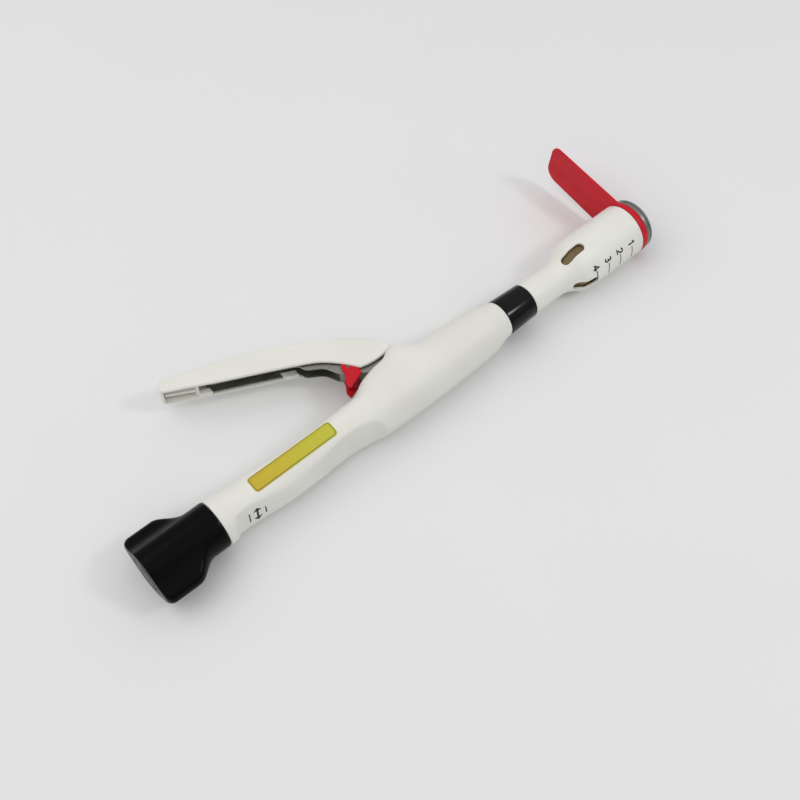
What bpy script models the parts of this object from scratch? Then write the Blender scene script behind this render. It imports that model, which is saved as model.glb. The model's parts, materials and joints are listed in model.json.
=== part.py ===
"""Circular stapler for surgery, lying on its side, built as separate working pieces.

Everything is modelled along the instrument's own axis: X runs along it, with X = 0 at the mouth
of the head casing and the head at +X. +Y is the side of the squeeze handle, +Z is up.
The root empty then moves the whole instrument so that its origin is the bottom centre.
"""

from math import cos, hypot, pi, radians, sin, sqrt

import bmesh
import bpy
import numpy as np
from mathutils import Matrix, Vector

MM = 0.001

# Fits
FIT_GAP = 0.3 * MM
RUN_GAP = 0.4 * MM

# Head casing
CASING_RADIUS = 17.0 * MM
CASING_WALL = 1.3 * MM
CASING_LENGTH = 36.0 * MM
SHOULDER_LENGTH = 26.0 * MM
SHOULDER_CREASE = 12.0 * MM
CREASE_RADIUS = 15.9 * MM
NECK_RADIUS = 10.2 * MM
NECK_LENGTH = 22.3 * MM
NECK_BORE = 8.3 * MM
SPIGOT_RADIUS = 9.2 * MM
SPIGOT_LENGTH = 32.0 * MM
MOUTH_EDGE = 0.4 * MM
WINDOW_COUNT = 4
WINDOW_ANGLE = 93.0
WINDOW_LENGTH = 17.0 * MM
WINDOW_WIDTH = 5.6 * MM
WINDOW_CENTRE = 47.5 * MM

# Locking collar between casing and body
COLLAR_LENGTH = 21.0 * MM
COLLAR_FRONT_RADIUS = 10.9 * MM
COLLAR_REAR_RADIUS = 11.7 * MM
COLLAR_EDGE = 0.3 * MM

# Body
BODY_LENGTH = 207.6 * MM
BODY_WALL = 2.2 * MM
BULGE_RADIUS = 16.8 * MM
TAIL_RADIUS = 14.2 * MM
CREASE_POWER = 12
HUMP_HEIGHT = 23.5 * MM
HUMP_SQUARENESS = 3.0
GRIP_HEIGHT = 10.2 * MM
SCOOP_FLAT = 9.1 * MM
TAIL_SCOOP_FLAT = 8.6 * MM
BAY_RADIUS = 12.3 * MM
WEB_THICKNESS = 3.2 * MM
TAIL_WALL = 10.0 * MM
TAIL_SPIGOT_RADIUS = 10.0 * MM
TAIL_SPIGOT_LENGTH = 10.0 * MM
SLOT_HALF_WIDTH = 8.0 * MM
SLOT_FLOOR = 6.0 * MM

# Squeeze handle and its lever
PIVOT_BACK = 68.7 * MM
PIVOT_HEIGHT = 16.0 * MM
PIN_RADIUS = 2.0 * MM
PIN_HALF_LENGTH = 12.5 * MM
COVER_HALF_WIDTH = 7.3 * MM
COVER_WALL = 1.6 * MM
COVER_EDGE = 1.2 * MM
COVER_RIBS = (48.0 * MM, 72.0 * MM, 95.0 * MM)
RIB_THICKNESS = 1.6 * MM
RIB_INSET = 1.0 * MM
LEVER_HALF_THICKNESS = 4.0 * MM
LEVER_SHEET = 0.9 * MM
HUB_RADIUS = 6.0 * MM
PRONG_THICKNESS = 2.0 * MM
PRONG_INSET = 3.1 * MM
PRONG_TIP_RADIUS = 2.5 * MM
PRONG_HALF_WIDTH = 1.7 * MM
SQUEEZE_ANGLE = 26.0

# Safety latch on the lever
LATCH_CHEEK = 1.1 * MM
LATCH_WEB_INNER = 7.9 * MM
LATCH_WEB_OUTER = 10.4 * MM
LATCH_PIN_RADIUS = 1.2 * MM

# Push tube and what it carries
TUBE_RADIUS = 6.6 * MM
TUBE_WALL = 0.8 * MM
YOKE_RADIUS = 9.0 * MM
YOKE_THICKNESS = 2.5 * MM
PUSHER_THICKNESS = 3.0 * MM
PUSHER_SKIRT = 7.0 * MM
PUSHER_TAIL_END = 55.5 * MM
PUSHER_TAIL_WALL = 1.6 * MM
PUSHER_TAIL_GAP = 1.1 * MM
FINGER_ENTRY = 2.0 * MM
STAPLE_COUNT = 14
STAPLE_EDGE = 0.75 * MM
STAPLE_ROW_PITCH = 1.7 * MM
STAPLE_SLOT_LENGTH = 3.4 * MM
STAPLE_SLOT_WIDTH = 1.1 * MM
FINGER_LENGTH_ROUND = 2.7 * MM
FINGER_THICKNESS = 0.5 * MM
GUIDE_INNER_EDGE = 1.15 * MM
GUIDE_LENGTH = 9.0 * MM
GUIDE_RECESS = 0.5 * MM
KNIFE_WALL = 0.5 * MM
KNIFE_RECESS = 4.7 * MM
KNIFE_BEVEL = 1.2 * MM
BUSH_LENGTH = 6.0 * MM
SPRING_WIRE = 1.1 * MM
SPRING_RADIUS = 7.8 * MM
SPRING_TURNS = 8

# Anvil, its shaft and the rods behind it
SHAFT_RADIUS = 4.0 * MM
SHAFT_BACK = 62.0 * MM
ROD_RADIUS = 2.6 * MM
ANVIL_RADIUS = 17.0 * MM
ANVIL_PLATE = 2.4 * MM
ANVIL_DOME = 6.4 * MM
WASHER_THICKNESS = 0.8 * MM
WASHER_HALF_WIDTH = 0.6 * MM
ANVIL_TRAVEL = 45.0 * MM
GUIDE_SQUARE = 5.0 * MM
SQUARE_TO_PIN = 7.4 * MM
THREAD_LEAD = 9.0 * MM
THREAD_HEIGHT = 1.1 * MM
THREAD_CREST = 5.4 * MM
THREAD_ROOT = 6.0 * MM

# Transport spacer
SPACER_THICKNESS = 4.0 * MM
SPACER_SLOT_GAP = 0.6 * MM
SPACER_GROOVE_DEPTH = 2.6 * MM
TAB_THICKNESS = 2.0 * MM
TAB_REACH = 66.5 * MM
TAB_HALF_WIDTH = 14.8 * MM
TAB_TIP_HALF = 14.0 * MM
TAB_CORNER = 5.0 * MM
TAB_LOW_CORNER = 9.0 * MM
TAB_TILT = 6.5

# Adjusting knob and its drive nut
KNOB_LENGTH = 45.2 * MM
KNOB_RADIUS = 14.2 * MM
WING_HALF_SPAN = 23.0 * MM
WING_ROOT = 8.8 * MM
WING_TIP_HALF = 4.6 * MM
WING_START = 10.0 * MM
WING_FULL = 26.0 * MM
WING_CORNER = 4.5 * MM
KNOB_POCKET_RADIUS = 10.0 * MM
KNOB_POCKET_DEPTH = 13.5 * MM
NUT_RADIUS = 5.8 * MM
NUT_BORE = 4.1 * MM
NUT_APOTHEM = 6.5 * MM
NUT_IN_TAIL = 6.5 * MM
THREAD_PIN_IN_TAIL = 4.1 * MM
THREAD_PIN_RADIUS = 1.0 * MM
THRUST_WASHER = 1.2 * MM
RETAINER_WIDTH = 1.0 * MM
RETAINER_INNER = 9.1 * MM
RETAINER_OUTER = 11.1 * MM
RETAINER_BACK = 5.6 * MM
END_CAP_THICKNESS = 2.0 * MM

ROUND = 32
SMALL_ROUND = 18
BODY_RING = 24

# Stations along the axis, from the mouth of the casing backwards
X_CREASE = -CASING_LENGTH - SHOULDER_CREASE
X_NECK = -CASING_LENGTH - SHOULDER_LENGTH
X_COLLAR_FRONT = X_NECK - NECK_LENGTH
X_COLLAR_REAR = X_COLLAR_FRONT - FIT_GAP - COLLAR_LENGTH
X_BODY_FRONT = X_COLLAR_REAR - FIT_GAP
X_BODY_REAR = X_BODY_FRONT - BODY_LENGTH
X_SPIGOT_END = X_COLLAR_FRONT - SPIGOT_LENGTH
X_FRONT_WEB = X_SPIGOT_END - FIT_GAP
X_BAY_FRONT = X_FRONT_WEB - WEB_THICKNESS
X_PIVOT = X_BODY_FRONT - PIVOT_BACK
X_SLOT_FRONT = X_PIVOT + 7.5 * MM
X_SLOT_REAR = X_PIVOT - 41.3 * MM
X_BAY_REAR = X_PIVOT - 30 * MM
X_MID_WEB = X_PIVOT - 43.6 * MM
X_YOKE_REAR = X_PIVOT + PRONG_TIP_RADIUS + FIT_GAP
X_TAIL_WALL = X_BODY_REAR + TAIL_WALL
X_TAIL_SPIGOT = X_BODY_REAR - TAIL_SPIGOT_LENGTH
X_KNOB_FRONT = X_BODY_REAR - 2 * FIT_GAP
X_KNOB_REAR = X_KNOB_FRONT - KNOB_LENGTH
X_NUT_FRONT = X_BODY_REAR + NUT_IN_TAIL
X_THREAD_PIN = X_BODY_REAR + THREAD_PIN_IN_TAIL
X_SQUARE_REAR = X_THREAD_PIN + SQUARE_TO_PIN
X_GUIDE_WEB = X_SQUARE_REAR + WEB_THICKNESS + ANVIL_TRAVEL + FIT_GAP
X_SQUARE_FRONT = X_GUIDE_WEB + 2 * MM
X_THREAD_REAR = X_KNOB_REAR + 0.2 * MM + END_CAP_THICKNESS + 2 * FIT_GAP
X_ROD_JOINT = X_SQUARE_FRONT + 8 * MM
X_ANVIL = SPACER_THICKNESS + 2 * FIT_GAP

PUSH_TRAVEL = PIVOT_HEIGHT * radians(SQUEEZE_ANGLE)
X_GUIDE_BACK = -GUIDE_RECESS - GUIDE_LENGTH
X_SKIRT_FRONT = X_GUIDE_BACK - PUSH_TRAVEL - FIT_GAP
X_PUSHER = X_SKIRT_FRONT - PUSHER_SKIRT - PUSHER_THICKNESS
GUIDE_RADIUS = CASING_RADIUS - CASING_WALL - FIT_GAP
OUTER_ROW = GUIDE_RADIUS - STAPLE_EDGE
INNER_ROW = OUTER_ROW - STAPLE_ROW_PITCH
GUIDE_INNER_RADIUS = INNER_ROW - GUIDE_INNER_EDGE
KNIFE_RADIUS = GUIDE_INNER_RADIUS - RUN_GAP
PUSHER_RADIUS = GUIDE_RADIUS
TUBE_BORE = TUBE_RADIUS + RUN_GAP
COVER_INNER = COVER_HALF_WIDTH - COVER_WALL
LATCH_INNER = LEVER_HALF_THICKNESS + FIT_GAP
LATCH_OUTER = LATCH_INNER + LATCH_CHEEK
PIVOT = Vector((X_PIVOT, PIVOT_HEIGHT, 0.0))
LATCH_PIVOT = PIVOT + Vector((-23.0, 14.0, 0.0)) * MM


# Scene helpers

def clear_scene():
    for obj in list(bpy.data.objects):
        bpy.data.objects.remove(obj, do_unlink=True)


def make_material(name, colour, roughness, metallic=0.0):
    material = bpy.data.materials.new(name)
    material.use_nodes = True
    shader = material.node_tree.nodes["Principled BSDF"]
    shader.inputs["Base Color"].default_value = (*colour, 1.0)
    shader.inputs["Roughness"].default_value = roughness
    shader.inputs["Metallic"].default_value = metallic
    return material


def add_empty(name, location, parent=None):
    empty = bpy.data.objects.new(name, None)
    empty.empty_display_size = 10 * MM
    empty.location = location
    bpy.context.scene.collection.objects.link(empty)
    if parent:
        empty.parent = parent
    return empty


def add_object(name, bm, material, frame):
    """Turn a bmesh drawn in the instrument's frame into an object that hangs on an empty."""
    bmesh.ops.remove_doubles(bm, verts=bm.verts, dist=1e-7)
    bmesh.ops.recalc_face_normals(bm, faces=bm.faces)
    mesh = bpy.data.meshes.new(name)
    bm.to_mesh(mesh)
    bm.free()
    mesh.materials.append(material)
    mesh.shade_smooth()
    mesh.set_sharp_from_angle(angle=radians(32))
    obj = bpy.data.objects.new(name, mesh)
    bpy.context.scene.collection.objects.link(obj)
    mesh.transform(Matrix.Translation(-frame.location))
    obj.parent = frame
    return obj


def boolean(target, tool, operation):
    """Return the exact boolean of two bmeshes as a new bmesh."""
    objects = []
    for name, bm in (("target", target), ("tool", tool)):
        bmesh.ops.recalc_face_normals(bm, faces=bm.faces)
        mesh = bpy.data.meshes.new(name)
        bm.to_mesh(mesh)
        bm.free()
        obj = bpy.data.objects.new(name, mesh)
        bpy.context.scene.collection.objects.link(obj)
        objects.append(obj)
    modifier = objects[0].modifiers.new("boolean", "BOOLEAN")
    modifier.operation = operation
    modifier.solver = "EXACT"
    modifier.object = objects[1]
    depsgraph = bpy.context.evaluated_depsgraph_get()
    result = bmesh.new()
    result.from_object(objects[0], depsgraph)
    for obj in objects:
        bpy.data.objects.remove(obj, do_unlink=True)
    return result


def cut(target, *tools):
    for tool in tools:
        target = boolean(target, tool, "DIFFERENCE")
    return target


def join(target, *tools):
    for tool in tools:
        target = boolean(target, tool, "UNION")
    return target


# Shape helpers: each returns a new closed bmesh

def turned(profile, segments=ROUND):
    """Turn a profile of (x, radius) points about X. Points on the axis close it at its ends."""
    bm = bmesh.new()
    rings = []
    for x, radius in profile:
        if radius < 1e-9:
            rings.append([bm.verts.new((x, 0.0, 0.0))])
            continue
        angles = [2 * pi * i / segments for i in range(segments)]
        rings.append([bm.verts.new((x, radius * cos(a), radius * sin(a))) for a in angles])
    closed = profile[0][1] > 1e-9
    pairs = list(zip(rings, rings[1:] + rings[:1])) if closed else list(zip(rings, rings[1:]))
    for one, two in pairs:
        for i in range(segments):
            j = (i + 1) % segments
            if len(one) == 1:
                bm.faces.new((one[0], two[j], two[i]))
            elif len(two) == 1:
                bm.faces.new((one[i], one[j], two[0]))
            else:
                bm.faces.new((one[i], one[j], two[j], two[i]))
    return bm


def rod(x0, x1, radius, segments=ROUND):
    return turned([(x0, 0.0), (x0, radius), (x1, radius), (x1, 0.0)], segments)


def tube(x0, x1, inner, outer, segments=ROUND):
    return turned([(x0, inner), (x0, outer), (x1, outer), (x1, inner)], segments)


def loft(rings):
    """Skin a list of rings, each a list of 3-D points, and cap both ends."""
    bm = bmesh.new()
    loops = [[bm.verts.new(point) for point in ring] for ring in rings]
    for one, two in zip(loops, loops[1:]):
        count = len(one)
        for i in range(count):
            j = (i + 1) % count
            bm.faces.new((one[i], one[j], two[j], two[i]))
    bm.faces.new(loops[0])
    bm.faces.new(list(reversed(loops[-1])))
    return bm


def prism(outline, z0, z1):
    """Extrude an outline of (x, y) points from z0 to z1."""
    return loft([[(x, y, z) for x, y in outline] for z in (z0, z1)])


def box(low, high):
    (x0, y0, z0), (x1, y1, z1) = low, high
    return prism([(x0, y0), (x1, y0), (x1, y1), (x0, y1)], z0, z1)


def upright_rod(centre, radius, z0, z1, segments=SMALL_ROUND):
    return prism(arc(centre, radius, 0, 360 - 360 / segments, segments - 1), z0, z1)


def merged(parts):
    """Put several closed shapes that don't touch into one tool."""
    bm = bmesh.new()
    for part in parts:
        mesh = bpy.data.meshes.new("piece")
        part.to_mesh(mesh)
        part.free()
        bm.from_mesh(mesh)
        bpy.data.meshes.remove(mesh)
    return bm


def turned_about_x(bm, angle):
    bmesh.ops.rotate(bm, verts=bm.verts, cent=(0, 0, 0), matrix=Matrix.Rotation(radians(angle), 3, "X"))
    return bm


def arc(centre, radius, start, stop, steps):
    """Points on an arc in degrees, both ends included."""
    angles = [radians(start + (stop - start) * i / steps) for i in range(steps + 1)]
    return [(centre[0] + radius * cos(a), centre[1] + radius * sin(a)) for a in angles]


def smooth_curve(points):
    """A smooth function through (x, value) points that never swings past them."""
    xs, ys = (np.array(column, dtype=float) for column in zip(*sorted(points)))
    steps = np.diff(xs)
    slopes = np.diff(ys) / steps
    tangents = np.zeros(len(xs))
    for i in range(1, len(xs) - 1):
        if slopes[i - 1] * slopes[i] > 0:
            near = 2 * steps[i] + steps[i - 1]
            far = steps[i] + 2 * steps[i - 1]
            tangents[i] = (near + far) / (near / slopes[i - 1] + far / slopes[i])

    def value(x):
        i = int(np.clip(np.searchsorted(xs, x) - 1, 0, len(steps) - 1))
        t = float(np.clip((x - xs[i]) / steps[i], 0.0, 1.0))
        rise = ys[i + 1] - ys[i]
        start = tangents[i] * steps[i]
        end = tangents[i + 1] * steps[i]
        return ys[i] + start * t + (3 * rise - 2 * start - end) * t ** 2 + (start + end - 2 * rise) * t ** 3

    return value


# Head

def shoulder_points(offset, crease_radius, end_radius):
    """The casing's shoulder: a soft turn to the crease, then a hollow run down to the neck."""
    points = [(-CASING_LENGTH, CASING_RADIUS - offset)]
    turn_drop = 0.2 * (CASING_RADIUS - crease_radius)
    points += [(-CASING_LENGTH - 0.5 * SHOULDER_CREASE, CASING_RADIUS - offset - turn_drop)]
    points += [(X_CREASE, crease_radius - offset)]
    drop = crease_radius - offset - end_radius
    run = X_CREASE - X_NECK
    for share in (0.22, 0.45, 0.7, 1.0):
        points.append((X_CREASE - share * run, end_radius + drop * (1 - share) ** 1.9))
    return points


def head_casing():
    outer = [(0.0, CASING_RADIUS - MOUTH_EDGE), (-MOUTH_EDGE, CASING_RADIUS)]
    outer += shoulder_points(0.0, CREASE_RADIUS, NECK_RADIUS)
    outer += [(X_COLLAR_FRONT, NECK_RADIUS), (X_COLLAR_FRONT, SPIGOT_RADIUS), (X_SPIGOT_END, SPIGOT_RADIUS)]
    inner = [(0.0, CASING_RADIUS - CASING_WALL)] + shoulder_points(CASING_WALL, CREASE_RADIUS, NECK_BORE)
    inner += [(X_SPIGOT_END, NECK_BORE)]
    casing = turned(outer + list(reversed(inner)))
    windows = []
    half = 0.5 * (WINDOW_LENGTH - WINDOW_WIDTH)
    radius = 0.5 * WINDOW_WIDTH
    outline = arc((-WINDOW_CENTRE + half, 0), radius, -90, 90, 6)
    outline += arc((-WINDOW_CENTRE - half, 0), radius, 90, 270, 6)
    for i in range(WINDOW_COUNT):
        window = prism(outline, NECK_BORE, CASING_RADIUS + 2 * MM)
        windows.append(turned_about_x(window, WINDOW_ANGLE - 90 + 360 * i / WINDOW_COUNT))
    return cut(casing, merged(windows))


def staple_boxes(x0, x1, length, width):
    boxes = []
    for row, radius in enumerate((INNER_ROW, OUTER_ROW)):
        for i in range(STAPLE_COUNT):
            angle = 360 * (i + 0.5 * row) / STAPLE_COUNT
            shape = box((x0, -0.5 * length, radius - 0.5 * width), (x1, 0.5 * length, radius + 0.5 * width))
            boxes.append(turned_about_x(shape, angle))
    return merged(boxes)


def staple_guide():
    ring = tube(X_GUIDE_BACK, -GUIDE_RECESS, GUIDE_INNER_RADIUS, GUIDE_RADIUS)
    return cut(ring, staple_boxes(X_GUIDE_BACK - MM, MM, STAPLE_SLOT_LENGTH, STAPLE_SLOT_WIDTH))


def pusher_tail():
    """The pusher's long hollow tail, which fills the view through the windows: outer (x, radius) points."""
    inside = smooth_curve(shoulder_points(CASING_WALL, CREASE_RADIUS, NECK_BORE))
    stations = [-CASING_LENGTH, -0.5 * CASING_LENGTH + 0.5 * X_CREASE, X_CREASE]
    stations += [X_CREASE - share * (PUSHER_TAIL_END + X_CREASE) for share in (0.33, 0.67, 1.0)]
    return [(x, inside(x) - PUSHER_TAIL_GAP) for x in stations]


def staple_pusher():
    """A disc with a skirt and fingers in front of it and a hollow tail behind it."""
    back = X_PUSHER
    disc = back + PUSHER_THICKNESS
    skirt = X_SKIRT_FRONT
    inner = GUIDE_INNER_RADIUS + FIT_GAP
    bore = TUBE_RADIUS - TUBE_WALL
    tail = pusher_tail()
    wall = PUSHER_TAIL_WALL
    profile = [(back, bore), (back, tail[0][1] - wall)]
    profile += [(x, max(radius - wall, TUBE_BORE)) for x, radius in tail]
    profile += list(reversed(tail)) + [(back, tail[0][1]), (back, PUSHER_RADIUS), (skirt, PUSHER_RADIUS)]
    profile += [(skirt, inner), (disc, inner), (disc, bore)]
    tips = X_GUIDE_BACK + FINGER_ENTRY
    fingers = staple_boxes(skirt - 0.5 * MM, tips, FINGER_LENGTH_ROUND, FINGER_THICKNESS)
    return join(turned(profile), fingers)


def circular_knife():
    back = X_PUSHER + PUSHER_THICKNESS + FIT_GAP
    tip = -KNIFE_RECESS
    inner = KNIFE_RADIUS - KNIFE_WALL
    profile = [(back, inner), (back, KNIFE_RADIUS), (tip, KNIFE_RADIUS), (tip, KNIFE_RADIUS - 0.1 * MM)]
    return turned(profile + [(tip - KNIFE_BEVEL, inner)])


def push_tube():
    front = X_PUSHER - FIT_GAP
    back = X_YOKE_REAR + YOKE_THICKNESS + FIT_GAP
    inner = TUBE_RADIUS - TUBE_WALL
    return tube(back, front, inner, TUBE_RADIUS)


def drive_yoke():
    spigot = TUBE_RADIUS - TUBE_WALL - FIT_GAP
    bore = ROD_RADIUS + RUN_GAP
    step = X_YOKE_REAR + YOKE_THICKNESS
    profile = [(X_YOKE_REAR, bore), (X_YOKE_REAR, YOKE_RADIUS), (step, YOKE_RADIUS)]
    profile += [(step, spigot), (step + BUSH_LENGTH, spigot), (step + BUSH_LENGTH, bore)]
    return turned(profile)


def ring_between(x0, x1, inside, outside, segments=ROUND):
    """A bush that fills the space between a shaft and a bore, less its two fits."""
    return tube(x0, x1, inside + RUN_GAP, outside - FIT_GAP, segments)


def return_spring():
    """A compression spring round the push tube, between the front web and the yoke."""
    wire = 0.5 * SPRING_WIRE
    front = X_BAY_FRONT - FIT_GAP - wire
    back = X_YOKE_REAR + YOKE_THICKNESS + FIT_GAP + wire
    steps = 12 * SPRING_TURNS
    sides = 5
    rings = []
    for i in range(steps + 1):
        turn = 2 * pi * SPRING_TURNS * i / steps
        x = back + (front - back) * i / steps
        ring = []
        for side in range(sides):
            a = 2 * pi * side / sides
            radius = SPRING_RADIUS + wire * cos(a)
            ring.append((x + wire * sin(a), radius * cos(turn), radius * sin(turn)))
        rings.append(ring)
    return loft(rings)


def transport_spacer():
    """A horseshoe that grips the shaft, with its slot down, and a long flat tab on the handle side."""
    front = FIT_GAP + SPACER_THICKNESS
    slot = SHAFT_RADIUS + SPACER_SLOT_GAP
    opening = radians(90) - np.arcsin(slot / CASING_RADIUS)
    outline = [(slot, 0.0)]
    outline += [(slot * cos(a), slot * sin(a)) for a in np.linspace(0, pi, 11)[1:]]
    rim = np.linspace(pi + opening, -opening, ROUND)
    outline += [(CASING_RADIUS * cos(a), CASING_RADIUS * sin(a)) for a in rim]
    plate = loft([[(x, y, z) for y, z in outline] for x in (FIT_GAP, front)])
    low = (TAB_REACH - TAB_LOW_CORNER, TAB_LOW_CORNER - TAB_TIP_HALF)
    high = (TAB_REACH - TAB_CORNER, TAB_TIP_HALF - TAB_CORNER)
    tab = [(slot + 2 * MM, -TAB_HALF_WIDTH), *arc(low, TAB_LOW_CORNER, -90, 0, 6)]
    tab += [*arc(high, TAB_CORNER, 0, 90, 5), (slot + 2 * MM, TAB_HALF_WIDTH)]
    blade = loft([[(x, y, z) for y, z in tab] for x in (FIT_GAP, FIT_GAP + TAB_THICKNESS)])
    inner = KNIFE_RADIUS - KNIFE_WALL - 0.6 * MM
    groove = tube(0.0, FIT_GAP + SPACER_GROOVE_DEPTH, inner, KNIFE_RADIUS + 0.6 * MM)
    return cut(join(plate, turned_about_x(blade, TAB_TILT)), groove)


# Anvil and rods

def anvil_plate():
    back = X_ANVIL
    front = back + ANVIL_PLATE
    bore = SHAFT_RADIUS + FIT_GAP
    middle = KNIFE_RADIUS - 0.5 * KNIFE_WALL
    depth = WASHER_THICKNESS + 2 * FIT_GAP
    half = WASHER_HALF_WIDTH + FIT_GAP
    profile = [(front, bore), (front, ANVIL_RADIUS)]
    profile += [(back + MOUTH_EDGE, ANVIL_RADIUS), (back, ANVIL_RADIUS - MOUTH_EDGE)]
    profile += [(back, middle + half), (back + depth, middle + half), (back + depth, middle - half)]
    return turned(profile + [(back, middle - half), (back, bore)])


def cutting_washer():
    back = X_ANVIL + FIT_GAP
    middle = KNIFE_RADIUS - 0.5 * KNIFE_WALL
    return tube(back, back + WASHER_THICKNESS, middle - WASHER_HALF_WIDTH, middle + WASHER_HALF_WIDTH)


def anvil_cap():
    back = X_ANVIL + ANVIL_PLATE + FIT_GAP
    bore = SHAFT_RADIUS + FIT_GAP
    seat = back + 0.55 * ANVIL_DOME
    profile = [(seat, 0.0), (seat, bore), (back, bore), (back, ANVIL_RADIUS)]
    for share in np.linspace(0.12, 0.88, 7):
        angle = 0.5 * pi * share
        profile.append((back + ANVIL_DOME * sin(angle), ANVIL_RADIUS * cos(angle) ** 0.75))
    return turned(profile + [(back + ANVIL_DOME, 0.0)])


def anvil_shaft():
    front = X_ANVIL + ANVIL_PLATE + 0.55 * ANVIL_DOME
    socket = ROD_RADIUS + FIT_GAP
    profile = [(front, 0.0), (front, SHAFT_RADIUS), (-SHAFT_BACK, SHAFT_RADIUS), (-SHAFT_BACK, socket)]
    return turned(profile + [(-SHAFT_BACK + 12 * MM, socket), (-SHAFT_BACK + 12 * MM, 0.0)], 28)


def pull_rod():
    return rod(X_ROD_JOINT, -SHAFT_BACK + 12 * MM - FIT_GAP, ROD_RADIUS, SMALL_ROUND)


def square_bar(x0, x1, half):
    return box((x0, -half, -half), (x1, half, half))


def thread_ridge(x0, x1):
    """The land between the turns of the groove. The groove meets the thread pin, which is at +Y."""
    steps = 16
    count = int((x1 - x0) / THREAD_LEAD * steps)
    low = ROD_RADIUS - 0.3 * MM
    high = ROD_RADIUS + THREAD_HEIGHT
    half_root = 0.5 * THREAD_ROOT
    half_crest = 0.5 * THREAD_CREST
    rings = []
    for i in range(count + 1):
        x = x0 + (x1 - x0) * i / count
        angle = -2 * pi * (x - X_THREAD_PIN - 0.5 * THREAD_LEAD) / THREAD_LEAD
        section = [(-half_root, low), (-half_crest, high), (half_crest, high), (half_root, low)]
        rings.append([(x + dx, r * cos(angle), r * sin(angle)) for dx, r in section])
    return loft(rings)


def screw_rod():
    """The rear of the pull rod: a square that can't turn in its web, then the threaded end."""
    half_root = 0.5 * THREAD_ROOT
    stem = rod(X_THREAD_REAR, X_SQUARE_REAR + MM, ROD_RADIUS, SMALL_ROUND)
    nose = rod(X_SQUARE_FRONT - MM, X_ROD_JOINT - FIT_GAP, ROD_RADIUS, SMALL_ROUND)
    square = square_bar(X_SQUARE_REAR, X_SQUARE_FRONT, 0.5 * GUIDE_SQUARE)
    ridge = thread_ridge(X_THREAD_REAR + half_root + MM, X_SQUARE_REAR - half_root)
    return join(square, stem, nose, ridge)


# Body

def body_curves():
    """Four curves along the body: radius, height on the handle side, palm flat, squareness."""
    front, rear, pivot = X_BODY_FRONT, X_BODY_REAR, X_PIVOT
    radius = smooth_curve([
        (front, COLLAR_REAR_RADIUS), (front - 15 * MM, 0.5 * (COLLAR_REAR_RADIUS + BULGE_RADIUS) + 0.6 * MM),
        (front - 30 * MM, BULGE_RADIUS - 0.9 * MM), (pivot, BULGE_RADIUS),
        (pivot - 30 * MM, BULGE_RADIUS - 0.4 * MM), (pivot - 65 * MM, BULGE_RADIUS - 1.6 * MM), (rear, TAIL_RADIUS)])
    height = smooth_curve([
        (front, COLLAR_REAR_RADIUS), (front - 15 * MM, 0.5 * (COLLAR_REAR_RADIUS + BULGE_RADIUS) + 0.6 * MM),
        (front - 30 * MM, BULGE_RADIUS - 0.9 * MM), (pivot + 18 * MM, BULGE_RADIUS - 0.5 * MM),
        (pivot + 2 * MM, HUMP_HEIGHT), (pivot - 15 * MM, HUMP_HEIGHT - 2.2 * MM),
        (pivot - 25 * MM, BULGE_RADIUS - 0.8 * MM), (pivot - 37 * MM, GRIP_HEIGHT + 0.3 * MM),
        (pivot - 65 * MM, GRIP_HEIGHT), (pivot - 83 * MM, GRIP_HEIGHT + 0.2 * MM),
        (pivot - 112 * MM, TAIL_RADIUS - 1.8 * MM), (rear, TAIL_RADIUS)])
    flat = smooth_curve([
        (front, 1.6 * BULGE_RADIUS), (pivot - 28 * MM, 1.6 * BULGE_RADIUS),
        (pivot - 32 * MM, BULGE_RADIUS - 1 * MM), (pivot - 39 * MM, SCOOP_FLAT + 2.1 * MM),
        (pivot - 55 * MM, SCOOP_FLAT), (pivot - 78 * MM, SCOOP_FLAT + 2.4 * MM),
        (pivot - 92 * MM, SCOOP_FLAT + 3.3 * MM), (rear + 14 * MM, TAIL_SCOOP_FLAT),
        (rear + 9 * MM, TAIL_SCOOP_FLAT + 0.5 * MM), (rear + 4.5 * MM, TAIL_RADIUS + 0.4 * MM),
        (rear, 1.6 * BULGE_RADIUS)])
    square = smooth_curve([
        (front, 2.0), (pivot + 18 * MM, 2.0), (pivot, HUMP_SQUARENESS), (pivot - 14 * MM, HUMP_SQUARENESS),
        (pivot - 37 * MM, 2.0), (rear, 2.0)])
    return radius, height, flat, square


def body_ring(x, curves, inset=0.0):
    """One cross-section of the body, drawn inwards by the inset."""
    radius, height, flat, square = (curve(x) for curve in curves)
    radius, height, flat = radius - inset, height - inset, flat - inset
    points = []
    for i in range(BODY_RING):
        angle = 2 * pi * i / BODY_RING
        c, s = cos(angle), sin(angle)
        if c >= -1e-9:
            power = 2 / square
            y = height * abs(c) ** power
            z = radius * (abs(s) ** power) * (1 if s > 0 else -1)
        else:
            depth = radius * abs(c)
            y = -(depth ** -CREASE_POWER + flat ** -CREASE_POWER) ** (-1 / CREASE_POWER)
            z = radius * s
        points.append((x, y, z))
    return points


def body_stations(x0, x1, count):
    return [x0 + (x1 - x0) * i / count for i in range(count + 1)]


def body_bay(x0, x1, curves, count):
    return loft([body_ring(x, curves, BODY_WALL) for x in body_stations(x0, x1, count)])


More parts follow.
